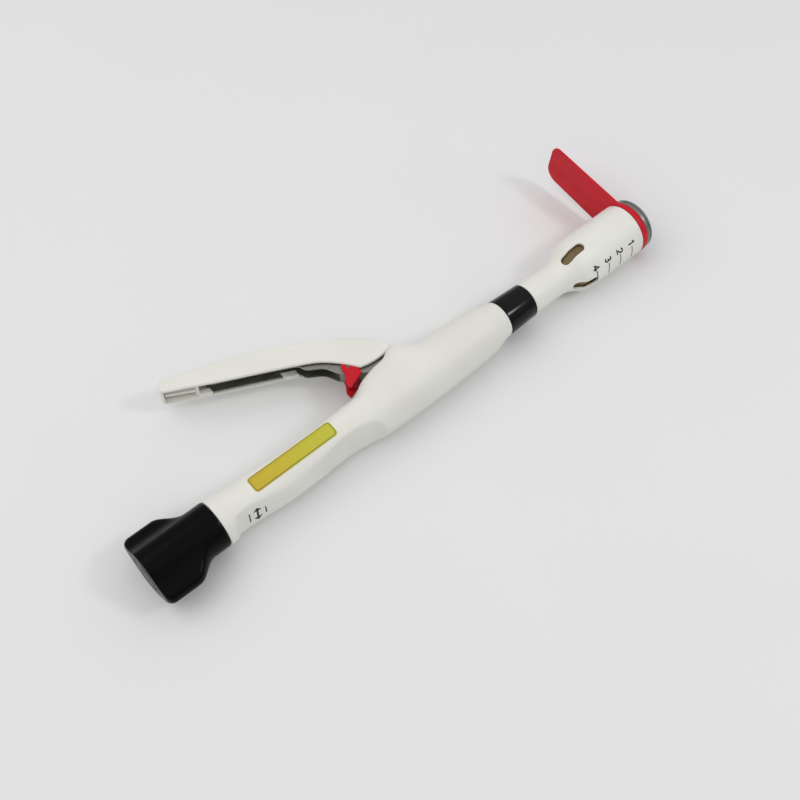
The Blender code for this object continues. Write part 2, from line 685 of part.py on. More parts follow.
def body_solid():
    """The whole outer body with its bays, bores and slot, before it is split into two shells."""
    curves = body_curves()
    stations = body_stations(X_BODY_FRONT, X_PIVOT + 20 * MM, 8)
    stations += body_stations(X_PIVOT + 20 * MM, X_PIVOT - 45 * MM, 18)[1:]
    stations += body_stations(X_PIVOT - 45 * MM, X_BODY_REAR + 16 * MM, 9)[1:]
    stations += body_stations(X_BODY_REAR + 16 * MM, X_BODY_REAR, 6)[1:]
    body = loft([body_ring(x, curves) for x in stations])
    body = join(body, rod(X_TAIL_SPIGOT, X_BODY_REAR + MM, TAIL_SPIGOT_RADIUS))
    mouth = SPIGOT_RADIUS + FIT_GAP
    front_bay = turned([
        (X_BODY_FRONT + MM, 0.0), (X_BODY_FRONT + MM, mouth), (X_FRONT_WEB, mouth), (X_FRONT_WEB, TUBE_BORE),
        (X_BAY_FRONT, TUBE_BORE), (X_BAY_FRONT, BAY_RADIUS), (X_BAY_REAR, BAY_RADIUS), (X_BAY_REAR, 0.0)])
    guide_half = 0.5 * GUIDE_SQUARE + FIT_GAP
    groove_x = X_BODY_REAR - RETAINER_BACK
    groove_half = 0.5 * RETAINER_WIDTH + FIT_GAP
    groove = (groove_x - groove_half, groove_x + groove_half)
    pin_reach = PIN_HALF_LENGTH + FIT_GAP
    return cut(
        body,
        front_bay,
        body_bay(X_MID_WEB, X_BAY_REAR + 2 * MM, curves, 4),
        rod(X_MID_WEB - WEB_THICKNESS - MM, X_MID_WEB + MM, 0.5 * GUIDE_SQUARE + 1.6 * MM, SMALL_ROUND),
        body_bay(X_GUIDE_WEB, X_MID_WEB - WEB_THICKNESS, curves, 6),
        square_bar(X_GUIDE_WEB - WEB_THICKNESS - MM, X_GUIDE_WEB + MM, guide_half),
        body_bay(X_TAIL_WALL, X_GUIDE_WEB - WEB_THICKNESS, curves, 6),
        rod(X_TAIL_SPIGOT - MM, X_TAIL_WALL + MM, NUT_RADIUS + RUN_GAP, SMALL_ROUND),
        box((X_SLOT_REAR, SLOT_FLOOR, -SLOT_HALF_WIDTH), (X_SLOT_FRONT, 2 * HUMP_HEIGHT, SLOT_HALF_WIDTH)),
        tube(*groove, RETAINER_INNER - FIT_GAP, TAIL_SPIGOT_RADIUS + MM),
        upright_rod((X_PIVOT, PIVOT_HEIGHT), PIN_RADIUS + FIT_GAP, -pin_reach, pin_reach))


def body_shell(side):
    """The half of the body above (side 1) or below (side -1) the handle's plane."""
    reach = 3 * HUMP_HEIGHT
    near, far = sorted((side * 0.5 * FIT_GAP, side * reach))
    half = box((X_TAIL_SPIGOT - 5 * MM, -reach, near), (X_BODY_FRONT + 5 * MM, reach, far))
    return boolean(body_solid(), half, "INTERSECT")


def lock_collar():
    front = X_COLLAR_FRONT - FIT_GAP
    inner = SPIGOT_RADIUS + FIT_GAP
    rear = X_COLLAR_REAR
    edge = COLLAR_EDGE
    profile = [(front, inner), (front, COLLAR_FRONT_RADIUS - edge), (front - edge, COLLAR_FRONT_RADIUS)]
    profile += [(rear + edge, COLLAR_REAR_RADIUS), (rear, COLLAR_REAR_RADIUS - edge), (rear, inner)]
    return turned(profile)


# Handle

def from_pivot(*points):
    """Points given in millimetres back from and above the handle's pivot."""
    return [(X_PIVOT - back * MM, PIVOT_HEIGHT + up * MM) for back, up in points]


def spline(points, steps):
    """A smooth line through points, with a number of steps between each two."""
    distances = np.cumsum([0.0] + [hypot(b[0] - a[0], b[1] - a[1]) for a, b in zip(points, points[1:])])
    along_x = smooth_curve(list(zip(distances, [p[0] for p in points])))
    along_y = smooth_curve(list(zip(distances, [p[1] for p in points])))
    result = []
    for start, stop in zip(distances, distances[1:]):
        for i in range(steps):
            d = start + (stop - start) * i / steps
            result.append((along_x(d), along_y(d)))
    return result + [points[-1]]


def cover_back():
    points = from_pivot((-5.2, 7.6), (-3.4, 12), (1.5, 19), (12, 29.2), (34, 43.5))
    return spline(points + from_pivot((56, 55), (82, 65), (108, 74.2)), 3)


def cover_mouth():
    points = from_pivot((114.5, 67), (100, 59.7), (89, 54), (72, 45.6), (57, 38.2), (44.5, 31.8))
    return spline(points + from_pivot((34.5, 25.9), (26.4, 18.2), (22, 12.6), (18.6, 7.8)), 2)


def cover_tail():
    return from_pivot((112, 74.6), (115, 72.6), (115.8, 69.6))


def cover_nose():
    return from_pivot((10, 6.2), (2, 5.8), (-4.0, 6.4))


def inset_outline(points, distance):
    """Move each point of a closed outline inwards."""
    count = len(points)
    area = sum(points[i - 1][0] * points[i][1] - points[i][0] * points[i - 1][1] for i in range(count))
    sign = 1 if area > 0 else -1
    moved = []
    for i in range(count):
        before, here, after = (Vector(points[j % count]) for j in (i - 1, i, i + 1))
        normal = ((here - before).normalized() + (after - here).normalized()).normalized()
        moved.append((here.x - sign * distance * normal.y, here.y + sign * distance * normal.x))
    return moved


def lever_outline():
    """The steel core in the handle's plane: from the cover's tail round its bend to the hub."""
    lower = from_pivot((91, 55.8), (72, 46.6), (53, 37.3), (44.4, 32.6), (43.4, 28), (34, 22), (30.2, 13.6))
    lower += from_pivot((27, 10.4), (15, 2), (5, -4))
    upper = from_pivot((0, -5), (-4.5, -2), (-4.5, 2), (2, 7.5), (13, 17.5), (26, 28.5), (44, 41.6))
    return lower + upper + from_pivot((66, 53), (91, 63.6))


def cover_rib(back):
    """A wall across the cover, forked round the lever."""
    top = smooth_curve(cover_back())
    mouth = smooth_curve(cover_mouth())
    x = X_PIVOT - back
    half = 0.5 * RIB_THICKNESS
    reach = 0.5 * (COVER_INNER + COVER_HALF_WIDTH)
    low = mouth(x) + RIB_INSET
    high = top(x) - 0.5 * COVER_WALL
    return box((x - half, low, -reach), (x + half, high, reach))


def handle_cover():
    """A channel that is open towards the body, with rounded outer edges and ribs that grip the lever."""
    outline = cover_back() + cover_tail() + cover_mouth() + cover_nose()
    edge = COVER_EDGE
    levels = []
    for share in (0.0, 0.5, 1.0):
        angle = 0.5 * pi * share
        z = COVER_HALF_WIDTH - edge * (1 - sin(angle))
        levels += [(z, edge * (1 - cos(angle))), (-z, edge * (1 - cos(angle)))]
    body = loft([[(x, y, z) for x, y in inset_outline(outline, inset)] for z, inset in sorted(levels)])
    inner = inset_outline(outline, COVER_WALL)
    count = len(cover_back()) + len(cover_tail())
    cavity = inner[:count] + from_pivot((118, 60), (60, 20), (14, -6), (-2, -6), (-8, 4))
    hollow = cut(body, prism(cavity, -COVER_INNER, COVER_INNER))
    clearance = prism(inset_outline(lever_outline(), -FIT_GAP), -LATCH_INNER, LATCH_INNER)
    ribs = cut(merged([cover_rib(back) for back in COVER_RIBS]), clearance)
    spine = from_pivot((COVER_RIBS[-1] / MM, 59.5), (113.5, 68.2), (113.5, 73), (COVER_RIBS[-1] / MM, 67))
    return join(hollow, ribs, prism(spine, -0.5 * RIB_THICKNESS, 0.5 * RIB_THICKNESS))


def lever_blade():
    """A pressed channel along the handle and round its bend, and solid from the latch to the hub."""
    blade = prism(lever_outline(), -LEVER_HALF_THICKNESS, LEVER_HALF_THICKNESS)
    half = LEVER_HALF_THICKNESS - LEVER_SHEET
    channel = from_pivot((93, 50), (66, 38), (48, 26), (38, 18), (31.5, 8), (28.5, 16), (28.5, 28.6))
    channel += from_pivot((44, 39.9), (66, 51.2), (93, 62.6))
    return cut(blade, prism(channel, -half, half))


def lever_prong(z0, z1):
    """One arm from the hub down to the round tip that pushes the yoke."""
    hub = arc((X_PIVOT, PIVOT_HEIGHT), HUB_RADIUS, 0, 180, 8)
    tip = arc((X_PIVOT, 0.0), PRONG_TIP_RADIUS, 160, 380, 8)
    neck = 0.55 * PIVOT_HEIGHT
    left = [(X_PIVOT - PRONG_HALF_WIDTH, neck), (X_PIVOT - PRONG_HALF_WIDTH, PRONG_TIP_RADIUS)]
    right = [(X_PIVOT + PRONG_HALF_WIDTH, PRONG_TIP_RADIUS), (X_PIVOT + PRONG_HALF_WIDTH, neck)]
    return prism(hub + left + tip + right, z0, z1)


def lever_core():
    outer = PRONG_INSET + PRONG_THICKNESS
    arms = [lever_prong(PRONG_INSET, outer), lever_prong(-outer, -PRONG_INSET)]
    pins = [upright_rod((X_PIVOT, PIVOT_HEIGHT), PIN_RADIUS + FIT_GAP, -outer - MM, outer + MM)]
    pins += [upright_rod(LATCH_PIVOT[:2], LATCH_PIN_RADIUS + FIT_GAP, -outer - MM, outer + MM, 12)]
    return cut(join(lever_blade(), *arms), *pins)


def safety_latch():
    """Two cheeks on the sides of the lever, joined by a web below it."""
    x, y = LATCH_PIVOT.x, LATCH_PIVOT.y
    cheek = arc((x, y), 4.2 * MM, 20, 150, 6)
    cheek += [(x - 5.5 * MM, y - 4.2 * MM), (x - 8.8 * MM, y - 9.0 * MM), (x - 10.4 * MM, y - 15.6 * MM)]
    cheek += [(x + 3.4 * MM, y - 8.8 * MM)]
    web = arc((x, y), LATCH_WEB_INNER, 232, 272, 4) + arc((x, y), LATCH_WEB_OUTER, 272, 232, 4)
    cheeks = [prism(cheek, LATCH_INNER, LATCH_OUTER), prism(cheek, -LATCH_OUTER, -LATCH_INNER)]
    latch = join(prism(web, -0.5 * (LATCH_INNER + LATCH_OUTER), 0.5 * (LATCH_INNER + LATCH_OUTER)), *cheeks)
    bore = upright_rod((x, y), LATCH_PIN_RADIUS + FIT_GAP, -LATCH_OUTER - MM, LATCH_OUTER + MM, 12)
    return cut(latch, bore)


# Adjusting knob

def knob_half_span(x):
    """Half the span of the wings at a station: level, then swept out, then rounded at the rear corner."""
    back = X_KNOB_FRONT - x
    share = min(max((back - WING_START) / (WING_FULL - WING_START), 0.0), 1.0)
    span = KNOB_RADIUS + (WING_HALF_SPAN - KNOB_RADIUS) * share * share * (3 - 2 * share)
    into_corner = max(back - (KNOB_LENGTH - WING_CORNER), 0.0)
    return span - (WING_CORNER - sqrt(max(WING_CORNER ** 2 - into_corner ** 2, 0.0)))


def knob_ring(x):
    """A barrel with two thick wings; the wings grow out of the barrel's sides."""
    span = knob_half_span(x)
    grown = max(0.0, min(1.0, (span - KNOB_RADIUS) / (WING_HALF_SPAN - KNOB_RADIUS)))
    crease = sqrt(KNOB_RADIUS ** 2 - WING_ROOT ** 2)
    top = [(y, sqrt(KNOB_RADIUS ** 2 - y * y)) for y in np.linspace(-WING_ROOT, WING_ROOT, 9)]
    wing = []
    for u in (0.25, 0.5, 0.75, 0.92, 0.985):
        y = WING_ROOT + u * (span - WING_ROOT)
        y_round = WING_ROOT + u * (KNOB_RADIUS - WING_ROOT)
        round_z = sqrt(KNOB_RADIUS ** 2 - y_round ** 2)
        hollow = WING_TIP_HALF + (crease - WING_TIP_HALF) * (1 - u) ** 2.3
        tip = 1.0 if u < 0.75 else sqrt(max(1 - ((u - 0.75) / 0.25) ** 2, 0.0))
        wing.append((y, (1 - grown) * round_z + grown * hollow * tip))
    upper = [(-y, z) for y, z in reversed(wing)] + top + wing + [(span, 0.0)]
    lower = [(y, -z) for y, z in reversed(upper[:-1])] + [(-span, 0.0)]
    return [(x, y, z) for y, z in upper + lower]


def adjusting_knob():
    shares = (0, 0.22, 0.28, 0.34, 0.4, 0.46, 0.52, 0.58, 0.9, 0.94, 0.975)
    stations = [X_KNOB_FRONT - KNOB_LENGTH * share for share in shares] + [X_KNOB_REAR + 0.2 * MM]
    recess = X_KNOB_FRONT - TAIL_SPIGOT_LENGTH - THRUST_WASHER - FIT_GAP
    pocket = X_KNOB_REAR + KNOB_POCKET_DEPTH
    groove_x = X_BODY_REAR - RETAINER_BACK
    reach = (NUT_APOTHEM + FIT_GAP) / cos(pi / 6)
    return cut(
        loft([knob_ring(x) for x in stations]),
        rod(recess, X_KNOB_FRONT + MM, TAIL_SPIGOT_RADIUS + RUN_GAP),
        tube(groove_x - 0.5 * RETAINER_WIDTH - FIT_GAP, groove_x + 0.5 * RETAINER_WIDTH + FIT_GAP,
             TAIL_SPIGOT_RADIUS - MM, RETAINER_OUTER + FIT_GAP),
        rod(pocket - MM, recess + MM, reach, 6),
        rod(X_KNOB_REAR - MM, pocket, KNOB_POCKET_RADIUS))


def knob_end_cap():
    back = X_KNOB_REAR + 0.2 * MM
    radius = KNOB_POCKET_RADIUS - FIT_GAP
    wall = 1.6 * MM
    deep = back + KNOB_POCKET_DEPTH - 2 * FIT_GAP
    plate = back + END_CAP_THICKNESS
    profile = [(back, 0.0), (back, radius), (deep, radius)]
    return turned(profile + [(deep, radius - wall), (plate, radius - wall), (plate, 0.0)])


def drive_nut():
    """Round in the body's tail, six-sided in the knob, with a cross hole for the thread pin."""
    shoulder = X_TAIL_SPIGOT - THRUST_WASHER - 2 * FIT_GAP
    rear = X_KNOB_REAR + KNOB_POCKET_DEPTH + FIT_GAP
    sleeve = rod(shoulder - MM, X_NUT_FRONT, NUT_RADIUS, SMALL_ROUND)
    hexagon = rod(rear, shoulder, NUT_APOTHEM / cos(pi / 6), 6)
    bore = rod(rear - MM, X_NUT_FRONT + MM, NUT_BORE, SMALL_ROUND)
    hole = upright_rod((X_THREAD_PIN, 0.0), THREAD_PIN_RADIUS + FIT_GAP, 0.0, 2 * NUT_RADIUS, 12)
    return cut(join(sleeve, hexagon), bore, turned_about_x(hole, -90))


def thread_pin():
    pin = upright_rod((X_THREAD_PIN, 0.0), THREAD_PIN_RADIUS, ROD_RADIUS + RUN_GAP, NUT_RADIUS, 12)
    return turned_about_x(pin, -90)


def retaining_ring():
    """A ring with a gap, sprung into the grooves of the body's tail and the knob."""
    x = X_BODY_REAR - RETAINER_BACK
    angles = np.linspace(radians(12), radians(348), 31)
    outline = [(RETAINER_OUTER * cos(a), RETAINER_OUTER * sin(a)) for a in angles]
    outline += [(RETAINER_INNER * cos(a), RETAINER_INNER * sin(a)) for a in reversed(angles)]
    half = 0.5 * RETAINER_WIDTH
    return loft([[(x + dx, y, z) for y, z in outline] for dx in (-half, half)])


# Assembly

def make_materials():
    return {
        "white": make_material("white_plastic", (0.76, 0.75, 0.68), 0.35),
        "black": make_material("black_plastic", (0.006, 0.006, 0.006), 0.4),
        "red": make_material("red_plastic", (0.45, 0.016, 0.024), 0.35),
        "steel": make_material("steel", (0.35, 0.35, 0.33), 0.35, 1.0),
        "dark_steel": make_material("dark_steel", (0.12, 0.12, 0.11), 0.4, 1.0),
        "clear": make_material("natural_plastic", (0.55, 0.53, 0.47), 0.5),
        "tan": make_material("tan_plastic", (0.16, 0.11, 0.036), 0.5),
        "rubber": make_material("silicone", (0.35, 0.33, 0.3), 0.6),
    }


def build():
    clear_scene()
    materials = make_materials()
    root = add_empty("stapler", (0, 0, 0))
    frames = {
        "root": add_empty("fixed_frame", (0, 0, 0), root),
        "pusher": add_empty("push_axis", (0, 0, 0), root),
        "anvil": add_empty("anvil_axis", (0, 0, 0), root),
        "knob": add_empty("knob_axis", (X_KNOB_FRONT, 0, 0), root),
        "handle": add_empty("handle_axis", PIVOT, root),
        "latch": add_empty("latch_axis", LATCH_PIVOT, root),
        "spacer": add_empty("spacer_axis", (0.5 * SPACER_THICKNESS, 0, 0), root),
    }
    bush_back = X_COLLAR_FRONT + 2 * MM
    seal = X_PUSHER - BUSH_LENGTH - 4 * MM
    tube_inner = TUBE_RADIUS - TUBE_WALL
    thrust_front = X_TAIL_SPIGOT - FIT_GAP
    thrust_washer = tube(thrust_front - THRUST_WASHER, thrust_front, NUT_RADIUS + RUN_GAP, TAIL_SPIGOT_RADIUS,
                         SMALL_ROUND)
    handle_pin = upright_rod((X_PIVOT, PIVOT_HEIGHT), PIN_RADIUS, -PIN_HALF_LENGTH, PIN_HALF_LENGTH)
    latch_pin = upright_rod(LATCH_PIVOT[:2], LATCH_PIN_RADIUS, -LATCH_OUTER, LATCH_OUTER, 12)
    tube_bush = ring_between(bush_back, bush_back + BUSH_LENGTH, TUBE_RADIUS, NECK_BORE)
    shaft_bush = ring_between(X_PUSHER - BUSH_LENGTH, X_PUSHER - FIT_GAP, SHAFT_RADIUS, tube_inner, 28)
    shaft_seal = ring_between(seal, seal + 2.5 * MM, SHAFT_RADIUS, tube_inner, 28)
    pieces = [
        ("body_shell_upper", body_shell(1), "white", "root"),
        ("body_shell_lower", body_shell(-1), "white", "root"),
        ("head_casing", head_casing(), "white", "root"),
        ("lock_collar", lock_collar(), "black", "root"),
        ("staple_guide", staple_guide(), "clear", "root"),
        ("tube_bush", tube_bush, "clear", "root"),
        ("return_spring", return_spring(), "steel", "root"),
        ("handle_pin", handle_pin, "steel", "root"),
        ("thrust_washer", thrust_washer, "steel", "root"),
        ("retaining_ring", retaining_ring(), "steel", "root"),
        ("push_tube", push_tube(), "steel", "pusher"),
        ("drive_yoke", drive_yoke(), "steel", "pusher"),
        ("staple_pusher", staple_pusher(), "tan", "pusher"),
        ("circular_knife", circular_knife(), "steel", "pusher"),
        ("shaft_bush", shaft_bush, "clear", "pusher"),
        ("shaft_seal", shaft_seal, "rubber", "pusher"),
        ("anvil_cap", anvil_cap(), "steel", "anvil"),
        ("anvil_plate", anvil_plate(), "steel", "anvil"),
        ("cutting_washer", cutting_washer(), "clear", "anvil"),
        ("anvil_shaft", anvil_shaft(), "steel", "anvil"),
        ("pull_rod", pull_rod(), "steel", "anvil"),
        ("screw_rod", screw_rod(), "steel", "anvil"),
        ("transport_spacer", transport_spacer(), "red", "spacer"),
        ("adjusting_knob", adjusting_knob(), "black", "knob"),
        ("knob_end_cap", knob_end_cap(), "black", "knob"),
        ("drive_nut", drive_nut(), "steel", "knob"),
        ("thread_pin", thread_pin(), "steel", "knob"),
        ("handle_cover", handle_cover(), "white", "handle"),
        ("lever_core", lever_core(), "dark_steel", "handle"),
        ("latch_pin", latch_pin, "steel", "handle"),
        ("safety_latch", safety_latch(), "red", "latch"),
    ]
    objects = [add_object(name, bm, materials[finish], frames[frame]) for name, bm, finish, frame in pieces]
    place_on_ground(root, objects)


def place_on_ground(root, objects):
    """Move the root so that the origin is the middle of the box round every piece, at its bottom."""
    bpy.context.view_layer.update()
    corners = np.array([obj.matrix_world @ Vector(corner) for obj in objects for corner in obj.bound_box])
    low, high = corners.min(axis=0), corners.max(axis=0)
    root.location = (-0.5 * (low[0] + high[0]), -0.5 * (low[1] + high[1]), -low[2])


build()
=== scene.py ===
"""Dresses the circular stapler: finer pieces, moulded, turned and brushed finishes, light and camera.

Lengths are in millimetres along the instrument's own axis: x runs forwards with 0 at the mouth of the
head casing, y points to the squeeze handle and z up. placed() turns them into the frame's metres.
"""
import json
from math import asin, cos, hypot, pi, radians, sin, sqrt

import bmesh
import bpy
import numpy as np
from mathutils import Matrix, Vector


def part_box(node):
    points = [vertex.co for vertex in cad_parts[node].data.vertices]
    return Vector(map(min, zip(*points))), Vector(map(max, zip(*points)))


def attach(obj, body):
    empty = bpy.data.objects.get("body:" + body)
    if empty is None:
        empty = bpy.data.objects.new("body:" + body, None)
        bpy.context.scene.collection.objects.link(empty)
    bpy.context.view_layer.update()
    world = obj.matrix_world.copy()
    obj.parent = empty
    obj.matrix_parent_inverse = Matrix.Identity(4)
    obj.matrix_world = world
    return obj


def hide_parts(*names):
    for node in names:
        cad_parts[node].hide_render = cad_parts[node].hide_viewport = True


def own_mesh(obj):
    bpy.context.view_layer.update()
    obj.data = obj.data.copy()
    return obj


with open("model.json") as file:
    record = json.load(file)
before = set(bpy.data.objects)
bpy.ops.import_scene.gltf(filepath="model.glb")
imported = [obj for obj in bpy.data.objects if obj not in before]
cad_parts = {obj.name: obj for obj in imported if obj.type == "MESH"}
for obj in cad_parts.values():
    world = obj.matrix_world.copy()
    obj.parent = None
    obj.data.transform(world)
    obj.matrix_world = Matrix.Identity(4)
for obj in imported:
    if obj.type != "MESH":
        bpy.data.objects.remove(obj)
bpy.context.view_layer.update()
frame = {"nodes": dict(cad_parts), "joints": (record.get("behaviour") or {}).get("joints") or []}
NODES = frame["nodes"]
JOINTS = {joint["name"]: joint for joint in frame["joints"]}
MM = 0.001

# Places and sizes that the frame gives
CASING_LOW, CASING_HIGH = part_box("head_casing")
MOUTH = Vector((CASING_HIGH.x, 0.5 * (CASING_LOW.y + CASING_HIGH.y), 0.5 * (CASING_LOW.z + CASING_HIGH.z)))
INTO_FRAME = Matrix.Translation(MOUTH) @ Matrix.Scale(MM, 4)
FLOOR_LEVEL = min(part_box(name)[0].z for name in NODES)


def span(node):
    """A node's lowest and highest corners on the instrument's axis."""
    return [(corner - MOUTH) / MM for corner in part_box(node)]


def ends(node):
    """Where a node starts and stops along the axis."""
    return [corner.x for corner in span(node)]


def joint_place(name):
    return (Vector(JOINTS[name]["pos_m"]) - MOUTH) / MM


CASING_RADIUS = span("head_casing")[1].y
X_CASING_REAR = CASING_LOW.x / MM - MOUTH.x / MM
X_COLLAR_REAR, X_COLLAR_FRONT = ends("lock_collar")
X_TAIL_SPIGOT, X_BODY_FRONT = ends("body_shell_upper")
X_KNOB_REAR, X_KNOB_FRONT = ends("adjusting_knob")
X_SPACER_BACK, X_SPACER_FRONT = ends("transport_spacer")
X_PLATE_BACK, X_PLATE_FRONT = ends("anvil_plate")
X_DOME_BACK, X_DOME_TIP = ends("anvil_cap")
X_TUBE_BACK, X_TUBE_FRONT = ends("push_tube")
X_PUSHER_TAIL, X_FINGER_TIP = ends("staple_pusher")
X_GUIDE_BACK, X_GUIDE_FRONT = ends("staple_guide")
GUIDE_RADIUS = span("staple_guide")[1].y
X_SPRING_BACK, X_SPRING_FRONT = ends("return_spring")
KNIFE_RADIUS = span("circular_knife")[1].y
PIVOT = joint_place("handle_squeeze")
LATCH = joint_place("safety_flip")

# Fits, shared by the pieces that sit in each other
FIT_GAP = 0.3

# Head casing
CASING_WALL = 1.3
CASING_LENGTH = 36.0
SHOULDER_LENGTH = 26.0
SHOULDER_CREASE = 12.0
CREASE_RADIUS = 15.9
NECK_RADIUS = 10.2
NECK_BORE = 8.3
SPIGOT_RADIUS = 9.2
WINDOW_COUNT = 4
WINDOW_ANGLE = 91.4
WINDOW_LENGTH = 16.6
WINDOW_WIDTH = 6.2
WINDOW_CENTRE = 47.1
SCALE_PITCH = 10.0
SCALE_MARKS = 4
SCALE_ANGLE = 157.0

# Locking collar
COLLAR_FRONT_RADIUS = 10.9
COLLAR_REAR_RADIUS = 11.7

# Body
BODY_LENGTH = 207.6
BODY_WALL = 2.2
BULGE_RADIUS = 16.8
TAIL_RADIUS = 14.2
CREASE_POWER = 24
HUMP_HEIGHT = 23.5
HUMP_SQUARENESS = 3.0
GRIP_HEIGHT = 10.2
SCOOP_FLAT = 9.1
TAIL_SCOOP_FLAT = 8.6
BAY_RADIUS = 12.3
WEB_THICKNESS = 3.2
TAIL_SPIGOT_RADIUS = 10.0
SLOT_HALF_WIDTH = 8.0
SLOT_FLOOR = 6.0
SLOT_AHEAD = 7.5
SLOT_BEHIND = 41.3
REAR_BAY_BEHIND = 43.6
WEB_BORE = 7.0
ROD_BORE = 6.2
SHUT_GAP = 0.06
X_BODY_REAR = X_BODY_FRONT - BODY_LENGTH

# Squeeze handle, its lever and latch
COVER_HALF_WIDTH = 7.3
COVER_WALL = 1.6
COVER_EDGE = 1.2
COVER_RIB = 97.3
# Each boss: how far back and up its two lower corners are from the pivot, and how high it stands
COVER_BOSSES = (((52.9, 36.6), (44.9, 32.6), 4.0), ((97.3, 58.8), (90.2, 55.4), 3.4))
RIB_THICKNESS = 1.6
LEVER_HALF = 4.6
LEVER_SHEET = 0.9
HUB_RADIUS = 6.0
PIN_RADIUS = 2.0
PRONG_INSET = 3.1
PRONG_THICKNESS = 2.0
PRONG_TIP_RADIUS = 2.5
LATCH_CHEEK = 1.1
LATCH_PIN_RADIUS = 1.2

# Transport spacer and anvil
SPACER_PLAY = 0.6
TAB_THICKNESS = 2.0
TAB_REACH = 67.8
TAB_HALF_WIDTH = 14.8
TAB_TIP_HALF = 13.8
TAB_CORNER = 5.0
TAB_LOW_CORNER = 9.0
TAB_TILT = 6.5
SHAFT_RADIUS = 4.0
STAPLE_COUNT = 14
ANVIL_STEP = 0.5
DOME_POWER = 1.15
WASHER_DEPTH = 1.4
WASHER_HALF = 0.9
POCKET_DEPTH = 0.45
POCKET_APART = 0.95
POCKET_HALF_LENGTH = 0.6
POCKET_HALF_WIDTH = 0.35
STAPLE_ROW_PITCH = 1.7
STAPLE_EDGE = 0.75
STAPLE_SLOT_LENGTH = 3.4
STAPLE_SLOT_WIDTH = 1.1
FINGER_HALF_LENGTH = 1.35
FINGER_HALF_WIDTH = 0.25
PUSHER_THICKNESS = 3.0
PUSHER_BORE = 5.8
PUSHER_TAIL_BORE = 7.0
PUSHER_SKIRT = 7.0
PUSHER_TAIL_WALL = 1.6
PUSHER_TAIL_GAP = 1.1
PUSH_TRAVEL = PIVOT.y * radians(26.0)
PUSH_TUBE_BORE = 5.8
PUSH_TUBE_RADIUS = 6.6
SPRING_WIRE = 0.55

# Adjusting knob
KNOB_RADIUS = 14.2
WING_HALF_SPAN = 23.0
WING_ROOT = 8.8
WING_TIP_HALF = 4.6
WING_START = 10.0
WING_FULL = 26.0
WING_CORNER = 4.5
KNOB_POCKET_RADIUS = 10.0
KNOB_POCKET_DEPTH = 13.5
KNOB_LENGTH = X_KNOB_FRONT - X_KNOB_REAR
NUT_CORNER = 7.85
CAP_WALL = 1.6
CAP_FLOOR = 2.0

# Print and label
NUMERAL_HEIGHT = 4.7
NUMERAL_STROKE = 0.98
NUMERAL_ANGLE = 149.0
MARK_LENGTH = 9.0
LABEL_LENGTH = 56.0
LABEL_WIDTH = 10.0
LABEL_CORNER = 2.4
LABEL_LINE = 0.25
LABEL_LINE_IN = 0.7
LABEL_CENTRE = (-261.0, -1.0)
SIGN_PLACE = (-292.5, -1.5)
SIGN_HEIGHT = 13.0
ARROW_HALF = 2.6
ARROW_LENGTH = 3.2
ARROW_BAR_HALF = 0.6

# Smoothness of the finer pieces
ROUND = 128
BODY_RING = 96
SHARP_ANGLE = 32.0

# Floor, light and camera; the focal length is in pixels and the angles in degrees
FLOOR_TONE = "#EDEDED"
FLOOR_SHADE = "#EAEAEB"
FLOOR_HALF_SIZE = 2.6
FAR_TONE = "#F4F4F4"
WORLD_STRENGTH = 0.82
CAMERA_FOCAL = 1204.4
CAMERA_TURN = 40.5
CAMERA_DROP = 58.15
CAMERA_PLACE = (-423.5, -280.8, 584.4)
PICTURE_WIDTH = 800
SENSOR = 36.0


# Building meshes

def placed(name, bm, body, slot, material, *replaced):
    """Turn a bmesh drawn on the instrument's axis into a piece in the frame that rides on a body."""
    bmesh.ops.remove_doubles(bm, verts=bm.verts, dist=1e-4)
    bmesh.ops.recalc_face_normals(bm, faces=bm.faces)
    bmesh.ops.transform(bm, matrix=INTO_FRAME, verts=bm.verts)
    mesh = as_mesh(name, bm)
    mesh.shade_smooth()
    mesh.set_sharp_from_angle(angle=radians(SHARP_ANGLE))
    return finished(name, mesh, body, material, replaced)


def finished(name, mesh, body, material, replaced=()):
    mesh.materials.clear()
    mesh.materials.append(material)
    piece = linked(name, mesh)
    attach(piece, body)
    if replaced:
        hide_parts(*replaced)
    return piece


def as_mesh(name, bm):
    """Keep a bmesh as a mesh and free it."""
    mesh = bpy.data.meshes.new(name)
    bm.to_mesh(mesh)
    bm.free()
    return mesh


def linked(name, data):
    """An object of the given data, linked to the scene."""
    thing = bpy.data.objects.new(name, data)
    bpy.context.scene.collection.objects.link(thing)
    return thing


def boolean(target, tool, operation):
    """The exact boolean of two bmeshes as a new bmesh."""
    objects = []
    for bm in (target, tool):
        bmesh.ops.recalc_face_normals(bm, faces=bm.faces)
        objects.append(linked("boolean", as_mesh("boolean", bm)))
    modifier = objects[0].modifiers.new("boolean", "BOOLEAN")
    modifier.operation = operation
    modifier.solver = "EXACT"
    modifier.object = objects[1]
    result = bmesh.new()
    result.from_object(objects[0], bpy.context.evaluated_depsgraph_get())
    for thing in objects:
        bpy.data.objects.remove(thing, do_unlink=True)
    return result


def cut(target, *tools):
    for tool in tools:
        target = boolean(target, tool, "DIFFERENCE")
    return target


def join(target, *tools):
    for tool in tools:
        target = boolean(target, tool, "UNION")
    return target


